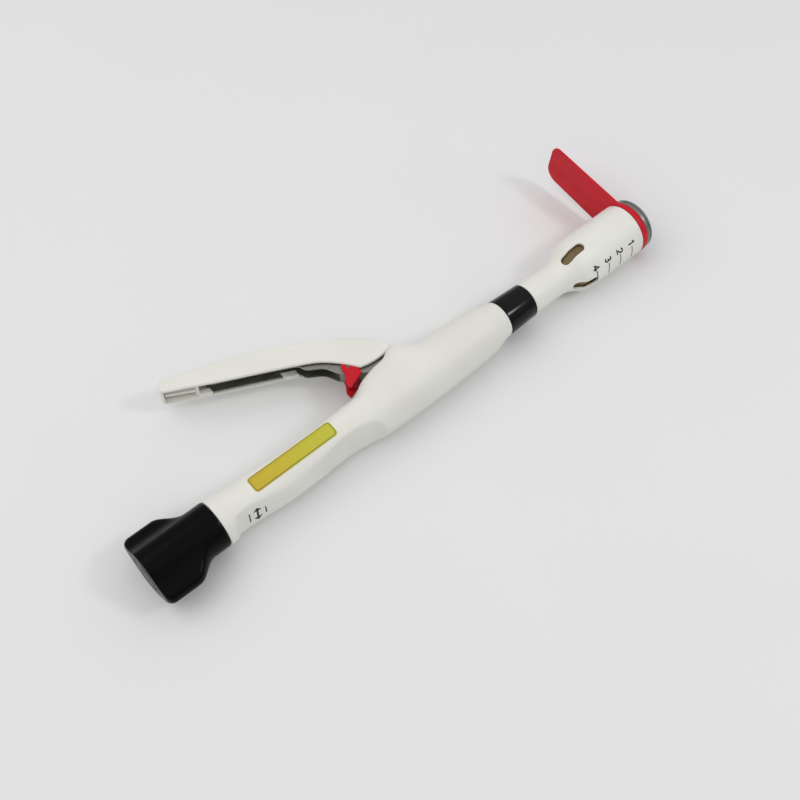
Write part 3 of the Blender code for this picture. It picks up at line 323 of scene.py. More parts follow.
def turned(profile, segments=ROUND):
    """Turn a profile of (x, radius) points about the axis. Points on the axis close it at its ends."""
    bm = bmesh.new()
    rings = []
    for x, radius in profile:
        if radius < 1e-6:
            rings.append([bm.verts.new((x, 0.0, 0.0))])
            continue
        angles = [2 * pi * i / segments for i in range(segments)]
        rings.append([bm.verts.new((x, radius * cos(a), radius * sin(a))) for a in angles])
    closed = profile[0][1] > 1e-6
    pairs = list(zip(rings, rings[1:] + rings[:1])) if closed else list(zip(rings, rings[1:]))
    for one, two in pairs:
        for i in range(segments):
            j = (i + 1) % segments
            if len(one) == 1:
                bm.faces.new((one[0], two[j], two[i]))
            elif len(two) == 1:
                bm.faces.new((one[i], one[j], two[0]))
            else:
                bm.faces.new((one[i], one[j], two[j], two[i]))
    return bm


def rod(x0, x1, radius, segments=48):
    return turned([(x0, 0.0), (x0, radius), (x1, radius), (x1, 0.0)], segments)


def tube(x0, x1, inner, outer, segments=ROUND):
    return turned([(x0, inner), (x0, outer), (x1, outer), (x1, inner)], segments)


def loft(rings):
    """Skin a list of rings of 3-D points and cap both ends."""
    bm = bmesh.new()
    loops = [[bm.verts.new(point) for point in ring] for ring in rings]
    for one, two in zip(loops, loops[1:]):
        for i in range(len(one)):
            j = (i + 1) % len(one)
            bm.faces.new((one[i], one[j], two[j], two[i]))
    bm.faces.new(loops[0])
    bm.faces.new(list(reversed(loops[-1])))
    return bm


def prism(outline, z0, z1):
    return loft([[(x, y, z) for x, y in outline] for z in (z0, z1)])


def corners(x0, y0, x1, y1):
    return [(x0, y0), (x1, y0), (x1, y1), (x0, y1)]


def box(low, high):
    return prism(corners(*low[:2], *high[:2]), low[2], high[2])


def arc(centre, radius, start, stop, steps):
    """Points on an arc in degrees, both ends included."""
    angles = [radians(start + (stop - start) * i / steps) for i in range(steps + 1)]
    return [(centre[0] + radius * cos(a), centre[1] + radius * sin(a)) for a in angles]


def upright_rod(centre, radius, z0, z1, segments=32):
    return prism(arc(centre, radius, 0, 360 - 360 / segments, segments - 1), z0, z1)


def merged(parts):
    """Put several closed shapes that don't touch into one bmesh."""
    bm = bmesh.new()
    for part in parts:
        mesh = as_mesh("part", part)
        bm.from_mesh(mesh)
        bpy.data.meshes.remove(mesh)
    return bm


def turned_about_x(bm, angle):
    bmesh.ops.rotate(bm, verts=bm.verts, cent=(0, 0, 0), matrix=Matrix.Rotation(radians(angle), 3, "X"))
    return bm


def rounded(points, radius, steps=4, closed=True):
    """Round the corners of an outline; a point may carry its own radius as a third number."""
    result = []
    count = len(points)
    for i, point in enumerate(points):
        here = Vector(point[:2])
        if not closed and i in (0, count - 1):
            result.append(tuple(here))
            continue
        before, after = Vector(points[i - 1][:2]), Vector(points[(i + 1) % count][:2])
        size = point[2] if len(point) > 2 else radius
        back = min(size, 0.45 * (before - here).length)
        ahead = min(size, 0.45 * (after - here).length)
        if size < 1e-6:
            result.append(tuple(here))
            continue
        start = here + (before - here).normalized() * back
        end = here + (after - here).normalized() * ahead
        for step in range(steps + 1):
            t = step / steps
            result.append(tuple(start * (1 - t) ** 2 + here * 2 * t * (1 - t) + end * t * t))
    return result


def inset_outline(points, distance):
    """Move each point of a closed outline inwards."""
    count = len(points)
    area = sum(points[i - 1][0] * points[i][1] - points[i][0] * points[i - 1][1] for i in range(count))
    sign = 1 if area > 0 else -1
    moved = []
    for i in range(count):
        before, here, after = (Vector(points[j % count]) for j in (i - 1, i, i + 1))
        normal = ((here - before).normalized() + (after - here).normalized()).normalized()
        moved.append((here.x - sign * distance * normal.y, here.y + sign * distance * normal.x))
    return moved


def soft_slab(outline, z0, z1, edge, steps=3):
    """A flat piece whose two rims are rounded; a narrow flat border keeps its faces evenly shaded."""
    rings = [(z0, edge + 0.05)]
    for i in range(steps + 1):
        angle = 0.5 * pi * (1 - i / steps)
        rings.append((z0 + edge * (1 - sin(angle)), edge * (1 - cos(angle))))
    rings += [(z0 + z1 - z, inset) for z, inset in reversed(rings)]
    return loft([[(x, y, z) for x, y in inset_outline(outline, inset)] for z, inset in rings])


def facing_x(bm):
    """Turn a piece drawn in x and y so that its x runs along Y, its y along Z and its z along X."""
    axes = Matrix(((0, 0, 1), (1, 0, 0), (0, 1, 0)))
    bmesh.ops.transform(bm, matrix=axes.to_4x4(), verts=bm.verts)
    return bm


def smooth_curve(points):
    """A smooth function through (x, value) points that never swings past them."""
    xs, ys = (np.array(column, dtype=float) for column in zip(*sorted(points)))
    steps = np.diff(xs)
    slopes = np.diff(ys) / steps
    tangents = np.zeros(len(xs))
    for i in range(1, len(xs) - 1):
        if slopes[i - 1] * slopes[i] > 0:
            near = 2 * steps[i] + steps[i - 1]
            far = steps[i] + 2 * steps[i - 1]
            tangents[i] = (near + far) / (near / slopes[i - 1] + far / slopes[i])

    def value(x):
        i = int(np.clip(np.searchsorted(xs, x) - 1, 0, len(steps) - 1))
        t = float(np.clip((x - xs[i]) / steps[i], 0.0, 1.0))
        rise = ys[i + 1] - ys[i]
        start = tangents[i] * steps[i]
        end = tangents[i + 1] * steps[i]
        bend = (3 * rise - 2 * start - end) * t ** 2 + (start + end - 2 * rise) * t ** 3
        return ys[i] + start * t + bend

    return value


def spline(points, steps):
    """A smooth line through points, with a number of steps between each two."""
    lengths = [hypot(b[0] - a[0], b[1] - a[1]) for a, b in zip(points, points[1:])]
    distances = np.cumsum([0.0] + lengths)
    along_x = smooth_curve(list(zip(distances, [p[0] for p in points])))
    along_y = smooth_curve(list(zip(distances, [p[1] for p in points])))
    result = []
    for start, stop in zip(distances, distances[1:]):
        result += [(along_x(d), along_y(d)) for d in np.linspace(start, stop, steps + 1)[:-1]]
    return result + [points[-1]]


# Node helpers

def linear(code):
    """An sRGB hex colour as the linear colour that a socket takes."""
    parts = [int(code[i:i + 2], 16) / 255 for i in (1, 3, 5)]
    return (*[p / 12.92 if p <= 0.04045 else ((p + 0.055) / 1.055) ** 2.4 for p in parts], 1.0)


def add(tree, kind, inputs=None, **settings):
    """Add a node with its settings; an input that is a socket is linked, anything else is set."""
    node = tree.nodes.new(kind)
    for key, value in settings.items():
        setattr(node, key, value)
    for key, value in (inputs or {}).items():
        if isinstance(value, bpy.types.NodeSocket):
            tree.links.new(value, node.inputs[key])
        else:
            node.inputs[key].default_value = value
    return node


def new_material(name, **sockets):
    """A material whose shader takes the given constants; underscores stand for spaces."""
    material = bpy.data.materials.new(name)
    material.use_nodes = True
    tree = material.node_tree
    shader = tree.nodes["Principled BSDF"]
    for key, value in sockets.items():
        shader.inputs[key.replace("_", " ")].default_value = value
    return material, tree, shader


def millimetres(tree, stretch=(1.0, 1.0, 1.0)):
    """Object coordinates in millimetres from the middle of the casing's mouth."""
    coordinates = add(tree, "ShaderNodeTexCoord")
    scale = [factor / MM for factor in stretch]
    shift = [-place * factor for place, factor in zip(MOUTH, scale)]
    inputs = {0: coordinates.outputs["Object"], "Location": shift, "Scale": scale}
    return add(tree, "ShaderNodeMapping", inputs).outputs[0]


def grain(tree, size, detail=3.0, roughness=0.5, stretch=(1.0, 1.0, 1.0)):
    """An uneven value over a piece, in blotches about size millimetres across."""
    place = millimetres(tree, stretch)
    inputs = {"Vector": place, "Scale": 0.5 / size, "Detail": detail, "Roughness": roughness}
    return add(tree, "ShaderNodeTexNoise", inputs).outputs[0]


def blended(tree, value, low, high, one, two, most=1.0):
    """Run from one colour, hex tone or socket, to another while a value goes from low to high."""
    share = add(tree, "ShaderNodeMapRange", {0: value, 1: low, 2: high, 4: most}).outputs[0]
    one, two = (linear(tone) if isinstance(tone, str) else tone for tone in (one, two))
    return add(tree, "ShaderNodeMix", {0: share, 6: one, 7: two}, data_type="RGBA").outputs[2]


def give_skin(tree, shader, tones, clouds, shine=None, relief=None):
    """Give a shader two tones, an uneven shine and a relief.

    clouds: a value, and the range in which it runs from the first tone to the second.
    shine: a value, its range, and the roughness at either end of it.
    relief: a height of 0 to 1, its depth in millimetres and its strength.
    """
    tree.links.new(blended(tree, *clouds, *tones), shader.inputs["Base Color"])
    if shine:
        uneven = add(tree, "ShaderNodeMapRange", dict(enumerate(shine)))
        tree.links.new(uneven.outputs[0], shader.inputs["Roughness"])
    if relief:
        height, depth, strength = relief
        bump = add(tree, "ShaderNodeBump", {"Height": height, "Distance": depth * MM, "Strength": strength})
        tree.links.new(bump.outputs[0], shader.inputs["Normal"])


# Finishes

def moulded_white_abs():
    """Warm white ABS, injection moulded: satin skin, faint flow marks, grain of a matt tool."""
    material, tree, shader = new_material("moulded_white_abs", Roughness=0.48, IOR=1.53)
    # A moulding tool's grain is about 0.05 mm; it is drawn at 0.35 mm so that it shows
    give_skin(tree, shader, ("#EDECE5", "#E4E3DA"), clouds=(grain(tree, 26.0), 0.35, 0.7),
              shine=(grain(tree, 5.0), 0.3, 0.7, 0.44, 0.54),
              relief=(grain(tree, 0.35, 4.0, 0.6), 0.02, 0.35))
    return material


def moulded_black_abs():
    """Black ABS with a spark-eroded tool's texture: broad soft highlights, slightly paler where worn."""
    material, tree, shader = new_material(
        "moulded_black_abs", Roughness=0.24, IOR=1.53, Specular_IOR_Level=0.08)
    # Spark erosion leaves pits of about 0.1 mm; they are drawn at 0.4 mm so that they show
    give_skin(tree, shader, ("#020203", "#050506"), clouds=(grain(tree, 9.0), 0.5, 0.8),
              shine=(grain(tree, 3.0), 0.3, 0.7, 0.2, 0.3), relief=(grain(tree, 0.4, 3.0, 0.6), 0.03, 0.4))
    return material


def polished_black_abs():
    """Black ABS from a polished tool: clear lights along the collar, a faint waviness."""
    material, tree, shader = new_material(
        "polished_black_abs", Roughness=0.16, IOR=1.53, Specular_IOR_Level=0.2)
    haze = grain(tree, 4.0)
    give_skin(tree, shader, ("#020202", "#050506"), clouds=(haze, 0.35, 0.75),
              shine=(haze, 0.35, 0.75, 0.12, 0.24), relief=(grain(tree, 2.0, 2.0), 0.015, 0.3))
    return material


def moulded_red_pp():
    """Red polypropylene: soft waxy gloss, light going a little way in, faint flow lines from its gate."""
    material, tree, shader = new_material(
        "moulded_red_pp", Roughness=0.42, IOR=1.49, Specular_IOR_Level=0.15,
        Subsurface_Weight=0.08, Subsurface_Radius=(0.004, 0.001, 0.001))
    flow = grain(tree, 3.0, stretch=(1.0, 0.12, 1.0))
    # The tool's grain of 0.05 mm is drawn at 0.4 mm so that it shows
    give_skin(tree, shader, ("#D0202D", "#BE1B28"), clouds=(flow, 0.3, 0.75),
              shine=(grain(tree, 6.0), 0.3, 0.7, 0.3, 0.42), relief=(grain(tree, 0.4, 4.0, 0.6), 0.02, 0.35))
    return material


def turned_stainless():
    """Stainless steel off a lathe: fine rings about the axis that stretch each highlight across them."""
    material, tree, shader = new_material("turned_stainless", Metallic=1.0, Roughness=0.32)
    # A fine feed is 0.1 mm a turn; the rings are drawn 0.45 mm apart so that they show
    inputs = {"Vector": millimetres(tree), "Scale": 0.7, "Distortion": 0.4, "Detail": 1.0}
    rings = add(tree, "ShaderNodeTexWave", inputs, wave_type="RINGS", rings_direction="X").outputs["Fac"]
    lines = add(tree, "ShaderNodeTexWave", inputs, wave_type="BANDS", bands_direction="X").outputs["Fac"]
    both = add(tree, "ShaderNodeMath", {0: rings, 1: lines}, operation="ADD").outputs[0]
    give_skin(tree, shader, ("#90928E", "#7C7E78"), clouds=(grain(tree, 7.0), 0.3, 0.7),
              shine=(both, 0.0, 2.0, 0.26, 0.42), relief=(both, 0.01, 0.3))
    return material


def brushed_sheet_steel():
    """Stainless sheet, cut and folded, brushed along its length: dull grey with long fine scratches."""
    material, tree, shader = new_material("brushed_sheet_steel", Metallic=1.0, Roughness=0.42)
    coordinates = add(tree, "ShaderNodeTexCoord").outputs["Object"]
    along = add(tree, "ShaderNodeMapping", {
        0: coordinates, "Rotation": (0.0, 0.0, radians(29)), "Scale": (40.0, 1200.0, 1200.0)}).outputs[0]
    # Brushing scratches are 0.05 mm wide; they are drawn at about 0.4 mm so that they show
    scratches = add(tree, "ShaderNodeTexNoise", {"Vector": along, "Scale": 1.0, "Detail": 4.0}).outputs[0]
    give_skin(tree, shader, ("#85857C", "#A3A39B"), clouds=(scratches, 0.3, 0.7),
              shine=(scratches, 0.3, 0.7, 0.36, 0.52), relief=(scratches, 0.02, 0.4))
    return material


def drawn_steel(name="drawn_steel", one="#9C9C96", two="#84847E", roughness=0.3):
    """Drawn bar, wire or tube: bright, with faint lines along its length."""
    material, tree, shader = new_material(name, Metallic=1.0, Roughness=roughness)
    # A die leaves lines finer than 0.1 mm; they are drawn at 0.5 mm so that they show
    lines = grain(tree, 0.5, 4.0, stretch=(0.05, 1.0, 1.0))
    give_skin(tree, shader, (one, two), clouds=(lines, 0.0, 1.0),
              shine=(lines, 0.3, 0.7, roughness - 0.06, roughness + 0.1), relief=(lines, 0.01, 0.3))
    return material


def natural_acetal():
    """Undyed acetal: milky, faintly see-through at its edges, slippery satin skin."""
    material, tree, shader = new_material(
        "natural_acetal", Roughness=0.4, IOR=1.48,
        Subsurface_Weight=0.15, Subsurface_Radius=(0.003, 0.0028, 0.002))
    # The tool's grain of 0.05 mm is drawn at 0.4 mm so that it shows, on the tan acetal as well
    give_skin(tree, shader, ("#CDC8B8", "#BEB8A6"), clouds=(grain(tree, 3.0), 0.3, 0.7),
              relief=(grain(tree, 0.4, 3.0), 0.02, 0.3))
    return material


def moulded_tan_acetal():
    """Tan acetal, injection moulded: olive brown, waxy satin skin with faint clouds."""
    material, tree, shader = new_material("moulded_tan_acetal", Roughness=0.42, IOR=1.48)
    give_skin(tree, shader, ("#7C693F", "#6C5A35"), clouds=(grain(tree, 4.0), 0.3, 0.7),
              relief=(grain(tree, 0.4, 3.0), 0.02, 0.3))
    return material


def silicone_rubber():
    """Grey silicone seal: matt, with the faint speckle of its filler."""
    material, tree, shader = new_material("silicone_rubber", Roughness=0.6, IOR=1.41)
    # The filler's grains are under 0.1 mm; they are drawn at 0.5 mm so that they show
    speckle = grain(tree, 0.5, 4.0)
    give_skin(tree, shader, ("#8F8B84", "#A19D96"), clouds=(speckle, 0.0, 1.0), relief=(speckle, 0.02, 0.3))
    return material


def printed_ink():
    """Black pad-printing ink: thin, slightly uneven, a touch glossier than the plastic under it."""
    material, tree, shader = new_material("printed_ink", Roughness=0.38, IOR=1.5, Specular_IOR_Level=0.2)
    # The pad's fine mottle is drawn at 0.6 mm so that it shows
    uneven = grain(tree, 0.6, 4.0)
    give_skin(tree, shader, ("#0A0B0B", "#1C1D1C"), clouds=(uneven, 0.35, 0.8),
              shine=(uneven, 0.35, 0.8, 0.34, 0.5))
    return material


def printed_label_film():
    """Yellow vinyl label, amber at the knob's end and greenish ahead, with a fine dark border."""
    material, tree, shader = new_material(
        "printed_label_film", Roughness=0.3, IOR=1.46, Coat_Weight=0.3, Coat_Roughness=0.2)
    # The label's own map: millimetres from its middle, along and across
    place = add(tree, "ShaderNodeUVMap", uv_map="label").outputs[0]
    along = add(tree, "ShaderNodeSeparateXYZ", {0: place}).outputs[0]
    ground = blended(tree, along, -0.5 * LABEL_LENGTH, 0.5 * LABEL_LENGTH, "#CBB018", "#C4C430")
    ground = blended(tree, grain(tree, 0.5, 4.0), 0.45, 0.75, ground, "#8C7A22", most=0.12)
    # How far a point lies outside the rectangle that joins the centres of the rounded corners
    centres = (0.5 * LABEL_LENGTH - LABEL_CORNER, 0.5 * LABEL_WIDTH - LABEL_CORNER, 0.0)
    nothing = (0.0, 0.0, 0.0)
    for operation, amount in (("ABSOLUTE", nothing), ("SUBTRACT", centres), ("MAXIMUM", nothing)):
        place = add(tree, "ShaderNodeVectorMath", {0: place, 1: amount}, operation=operation).outputs[0]
    outside = add(tree, "ShaderNodeVectorMath", {0: place}, operation="LENGTH").outputs["Value"]
    gap = add(tree, "ShaderNodeMath", {0: outside, 1: LABEL_CORNER - LABEL_LINE_IN}, operation="SUBTRACT")
    off_line = add(tree, "ShaderNodeMath", {0: gap.outputs[0]}, operation="ABSOLUTE").outputs[0]
    half = 0.5 * LABEL_LINE
    tint = blended(tree, off_line, half, half + 0.1, "#4A431C", ground)
    tree.links.new(tint, shader.inputs["Base Color"])
    return material


def pale_sweep():
    """The pale paper sweep: matt, faintly mottled."""
    material, tree, shader = new_material("pale_paper", Roughness=0.85)
    coordinates = add(tree, "ShaderNodeTexCoord").outputs["Object"]
    mottle = add(tree, "ShaderNodeTexNoise", {"Vector": coordinates, "Scale": 9.0, "Detail": 4.0}).outputs[0]
    give_skin(tree, shader, (FLOOR_TONE, FLOOR_SHADE), clouds=(mottle, 0.0, 1.0))
    return material


# Head casing

def shoulder_points(offset, crease_radius, end_radius):
    """The casing's shoulder: a soft turn to the crease, then a hollow run down to the neck."""
    x_crease = -CASING_LENGTH - SHOULDER_CREASE
    x_neck = -CASING_LENGTH - SHOULDER_LENGTH
    top = CASING_RADIUS - offset
    turn = (-CASING_LENGTH - 0.5 * SHOULDER_CREASE, top - 0.2 * (CASING_RADIUS - crease_radius))
    points = [(-CASING_LENGTH, top), turn, (x_crease, crease_radius - offset)]
    drop = crease_radius - offset - end_radius
    for share in np.linspace(0.1, 1.0, 10):
        points.append((x_crease + share * (x_neck - x_crease), end_radius + drop * (1 - share) ** 1.9))
    return points


def window_outline():
    half = 0.5 * (WINDOW_LENGTH - WINDOW_WIDTH)
    radius = 0.5 * WINDOW_WIDTH
    front = arc((-WINDOW_CENTRE + half, 0), radius, -90, 90, 12)
    return front + arc((-WINDOW_CENTRE - half, 0), radius, 90, 270, 12)


def head_casing():
    x_step = X_COLLAR_FRONT + FIT_GAP
    lip = [(0.0, CASING_RADIUS - CASING_WALL, 0.4), (0.0, CASING_RADIUS, 0.45), (-6.0, CASING_RADIUS, 0.0)]
    outer = rounded(lip, 0.4, closed=False)
    outer += [(x, CASING_RADIUS) for x in (-12.0, -18.0, -24.0, -30.0)]
    outer += rounded(shoulder_points(0.0, CREASE_RADIUS, NECK_RADIUS), 1.6, 3, closed=False)
    step = [(x_step + 6, NECK_RADIUS, 0), (x_step, NECK_RADIUS, 0.3), (x_step, SPIGOT_RADIUS, 0)]
    outer += rounded(step, 0.3, closed=False) + [(X_CASING_REAR, SPIGOT_RADIUS)]
    inner = shoulder_points(CASING_WALL, CREASE_RADIUS, NECK_BORE) + [(X_CASING_REAR, NECK_BORE)]
    casing = turned(outer + list(reversed(inner)))
    windows = []
    for i in range(WINDOW_COUNT):
        window = prism(window_outline(), NECK_BORE, CASING_RADIUS + 2)
        windows.append(turned_about_x(window, WINDOW_ANGLE - 90 + 360 * i / WINDOW_COUNT))
    return cut(casing, merged(windows))


def locking_collar():
    front, rear = X_COLLAR_FRONT, X_COLLAR_REAR
    inner = SPIGOT_RADIUS + FIT_GAP
    profile = [(front, inner, 0), (front, COLLAR_FRONT_RADIUS), (rear, COLLAR_REAR_RADIUS), (rear, inner, 0)]
    return turned(rounded(profile, 0.5, 5))


# Body

def body_curves():
    """Four curves along the body: radius, height on the handle side, flat on the palm side, squareness."""
    front, rear, pivot = X_BODY_FRONT, X_BODY_REAR, PIVOT.x
    swell = [(front, COLLAR_REAR_RADIUS), (front - 15, 0.5 * (COLLAR_REAR_RADIUS + BULGE_RADIUS) + 0.6),
             (front - 30, BULGE_RADIUS - 0.9)]
    radius = smooth_curve(swell + [
        (pivot, BULGE_RADIUS), (pivot - 30, BULGE_RADIUS - 0.4), (pivot - 65, BULGE_RADIUS - 1.6),
        (rear, TAIL_RADIUS)])
    height = smooth_curve(swell + [
        (pivot + 18, BULGE_RADIUS - 0.5), (pivot + 2, HUMP_HEIGHT), (pivot - 7, HUMP_HEIGHT - 4.0),
        (pivot - 15, HUMP_HEIGHT - 5.2), (pivot - 25, BULGE_RADIUS - 0.8),
        (pivot - 37, GRIP_HEIGHT + 0.3), (pivot - 65, GRIP_HEIGHT),
        (pivot - 83, GRIP_HEIGHT + 0.2), (pivot - 112, TAIL_RADIUS - 1.8), (rear, TAIL_RADIUS)])
    flat = smooth_curve([
        (front, 1.6 * BULGE_RADIUS), (pivot - 28, 1.6 * BULGE_RADIUS), (pivot - 32, BULGE_RADIUS - 1),
        (pivot - 39, SCOOP_FLAT + 2.1), (pivot - 55, SCOOP_FLAT), (pivot - 78, SCOOP_FLAT + 2.4),
        (pivot - 92, SCOOP_FLAT + 3.3), (rear + 14, TAIL_SCOOP_FLAT), (rear + 9, TAIL_SCOOP_FLAT + 0.5),
        (rear + 4.5, TAIL_RADIUS + 0.4), (rear, 1.6 * BULGE_RADIUS)])
    square = smooth_curve([
        (front, 2.0), (pivot + 18, 2.0), (pivot, HUMP_SQUARENESS), (pivot - 14, HUMP_SQUARENESS),
        (pivot - 37, 2.0), (rear, 2.0)])
    return radius, height, flat, square


CURVES = body_curves()


def palm_side(depth, flat):
    """How far the palm side stands out: round near the axis, then limited by the scoop's flat."""
    return (depth ** -CREASE_POWER + flat ** -CREASE_POWER) ** (-1 / CREASE_POWER)


def body_ring(x, inset=0.0):
    """One cross-section of the body, drawn inwards by the inset."""
    radius, height, flat, square = (curve(x) for curve in CURVES)
    radius, height, flat = radius - inset, height - inset, flat - inset
    points = []
    for i in range(BODY_RING):
        angle = 2 * pi * i / BODY_RING
        c, s = cos(angle), sin(angle)
        if c >= -1e-9:
            power = 2 / square
            y = height * abs(c) ** power
            z = radius * (abs(s) ** power) * (1 if s > 0 else -1)
        else:
            y = -palm_side(radius * abs(c), flat)
            z = radius * s
        points.append((x, y, z))
    return points


def stations(x0, x1, pitch):
    count = max(2, round(abs(x1 - x0) / pitch))
    return [x0 + (x1 - x0) * i / count for i in range(count + 1)]


def body_solid():
    """The whole outer body with its bays, bores and slot, before it is split into two shells."""
    pivot = PIVOT.x
    xs = stations(X_BODY_FRONT - 0.5, pivot + 20, 2.5) + stations(pivot + 20, pivot - 45, 1.3)[1:]
    xs += stations(pivot - 45, X_BODY_REAR + 16, 2.2)[1:]
    xs += stations(X_BODY_REAR + 16, X_BODY_REAR + 0.4, 1.0)[1:]
    rings = [body_ring(X_BODY_FRONT, 0.35)] + [body_ring(x) for x in xs] + [body_ring(X_BODY_REAR, 0.3)]
    body = join(loft(rings), rod(X_TAIL_SPIGOT, X_BODY_REAR + 1, TAIL_SPIGOT_RADIUS))
    mouth = SPIGOT_RADIUS + FIT_GAP
    x_web = X_CASING_REAR - FIT_GAP
    bay_front, bay_rear = x_web - WEB_THICKNESS, pivot - 30
    profile = [(X_BODY_FRONT + 1, 0.0), (X_BODY_FRONT + 1, mouth), (x_web, mouth), (x_web, WEB_BORE)]
    profile += [(bay_front, WEB_BORE), (bay_front, BAY_RADIUS), (bay_rear, BAY_RADIUS), (bay_rear, 0.0)]
    bay = turned(profile, 64)
    rear_bay = loft([body_ring(x, BODY_WALL) for x in stations(pivot - REAR_BAY_BEHIND, bay_rear + 2, 3.0)])
    slot = box((pivot - SLOT_BEHIND, SLOT_FLOOR, -SLOT_HALF_WIDTH),
               (pivot + SLOT_AHEAD, 2 * HUMP_HEIGHT, SLOT_HALF_WIDTH))
    return cut(body, bay, rear_bay, slot, rod(X_TAIL_SPIGOT - 1, pivot - 35, ROD_BORE))


def body_shells():
    """Split the body at the handle's plane, with a fine shut line between the halves."""
    whole = body_solid()
    halves = []
    for side in (1, -1):
        near, far = sorted((side * SHUT_GAP, side * 3 * HUMP_HEIGHT))
        half = box((X_TAIL_SPIGOT - 5, -60, near), (X_BODY_FRONT + 5, 60, far))
        halves.append(boolean(whole.copy(), half, "INTERSECT"))
    whole.free()
    return halves


# Handle, lever and latch

def from_pivot(*points):
    """Points given back from and above the handle's pivot."""
    return [(PIVOT.x - back, PIVOT.y + up, *more) for back, up, *more in points]


def cover_back():
    points = from_pivot((-3.6, 12.6), (1.5, 19), (12, 29.2), (34, 43.5))
    return spline(points + from_pivot((56, 55), (82, 65), (108, 74.2)), 8)


def cover_mouth():
    points = from_pivot((114.2, 66.9), (100, 59.7), (89, 54), (72, 45.6), (57, 38.2), (44.5, 31.8))
    return spline(points + from_pivot((34.5, 25.9), (26.4, 18.2), (22, 12.6), (18.6, 7.8)), 6)


def lever_outline():
    """The steel core in the handle's plane: from the cover's tail round its bend to the hub."""
    lower = from_pivot((91, 55.8, 1.4), (72, 46.6, 4), (53, 37.3, 4), (44.4, 32.6, 2), (43.4, 28, 2),
                       (34, 22, 3), (30.2, 13.6, 3), (27, 10.4, 2), (15, 2.0, 4), (5, -4.0, 2))
    upper = from_pivot((0, -5, 2), (-4.5, -2, 2), (-4.5, 2, 2), (2, 7.5, 3), (13, 17.5, 5),
                       (26, 28.5, 6), (44, 41.6, 8), (66, 53.0, 9), (91, 63.6, 1.4))
    return lower + upper


def cover_rib(back):
    """A wall across the cover, forked round the lever."""
    top = smooth_curve(cover_back())
    mouth = smooth_curve(cover_mouth())
    x = PIVOT.x - back
    half = 0.5 * RIB_THICKNESS
    reach = COVER_HALF_WIDTH - 0.5 * COVER_WALL
    return box((x - half, mouth(x) + 1.0, -reach), (x + half, top(x) - 0.5 * COVER_WALL, reach))


def cover_bosses(gap=0.0):
    """Two bosses on the cover's lower wall that reach into the lever's channel and hold it."""
    parts = []
    for (back, up), (near, near_up), rise in COVER_BOSSES:
        back, near = back + gap, near - gap
        outline = from_pivot((back, up - 3 * gap), (near, near_up - 3 * gap),
                             (near, near_up + rise + gap), (back, up + rise + gap))
        parts.append(prism(outline, 0.5 * COVER_WALL - COVER_HALF_WIDTH, gap - rise))
    return merged(parts)


def handle_cover():
    """A channel open towards the body, with rounded outer edges, and a rib and bosses that grip the lever."""
    tail = spline(from_pivot((108.5, 74.4), (112, 74.6), (115, 72.6), (115.9, 70.2), (115.6, 68.4)), 3)
    nose = from_pivot((14, 6.6), (9, 6.0), (2, 5.7), (-1.4, 6.0), (-3.6, 7.4), (-4.4, 9.6))
    outline = cover_back() + tail + cover_mouth() + nose
    body = soft_slab(outline, -COVER_HALF_WIDTH, COVER_HALF_WIDTH, COVER_EDGE, 5)
    inner = inset_outline(outline, COVER_WALL)
    count = len(cover_back()) + len(tail) - 1
    cavity = inner[:count] + from_pivot((118, 60), (60, 20), (14, -6), (-2, -6), (-8, 4))
    inside = COVER_HALF_WIDTH - COVER_WALL
    hollow = cut(body, prism(cavity, -inside, inside))
    around = rounded(lever_outline(), 1.0)
    clearance = prism(inset_outline(around, -FIT_GAP), -LEVER_HALF - FIT_GAP, LEVER_HALF + FIT_GAP)
    rib = cut(cover_rib(COVER_RIB), clearance)
    spine = from_pivot((COVER_RIB, 59.5), (113.5, 68.2), (113.5, 73), (COVER_RIB, 67))
    return join(hollow, rib, cover_bosses(), prism(spine, -0.5 * RIB_THICKNESS, 0.5 * RIB_THICKNESS))


def lever_core():
    """A pressed channel along the handle and round its bend, solid from the latch to the hub."""
    blade = soft_slab(rounded(lever_outline(), 1.0), -LEVER_HALF, LEVER_HALF, 0.25, 2)
    half = LEVER_HALF - LEVER_SHEET
    channel = from_pivot((93, 50), (66, 38), (48, 26), (38, 18), (31.5, 8), (28.5, 16), (28.5, 28.6))
    channel += from_pivot((44, 39.9), (66, 51.2), (93, 62.6))
    blade = cut(blade, prism(channel, -half, half), cover_bosses(FIT_GAP))
    outer = PRONG_INSET + PRONG_THICKNESS
    hub = arc(PIVOT[:2], HUB_RADIUS, 0, 180, 20)
    tip = arc((PIVOT.x, 0.0), PRONG_TIP_RADIUS, 160, 380, 20)
    left = [(PIVOT.x - 1.7, 8.8), (PIVOT.x - 1.7, 2.5)]
    right = [(PIVOT.x + 1.7, 2.5), (PIVOT.x + 1.7, 8.8)]
    arms = [prism(hub + left + tip + right, *sorted((side * PRONG_INSET, side * outer))) for side in (1, -1)]
    pins = [upright_rod(PIVOT[:2], PIN_RADIUS + FIT_GAP, -outer - 1, outer + 1)]
    pins += [upright_rod(LATCH[:2], LATCH_PIN_RADIUS + FIT_GAP, -outer - 1, outer + 1, 24)]
    return cut(join(blade, *arms), *pins)


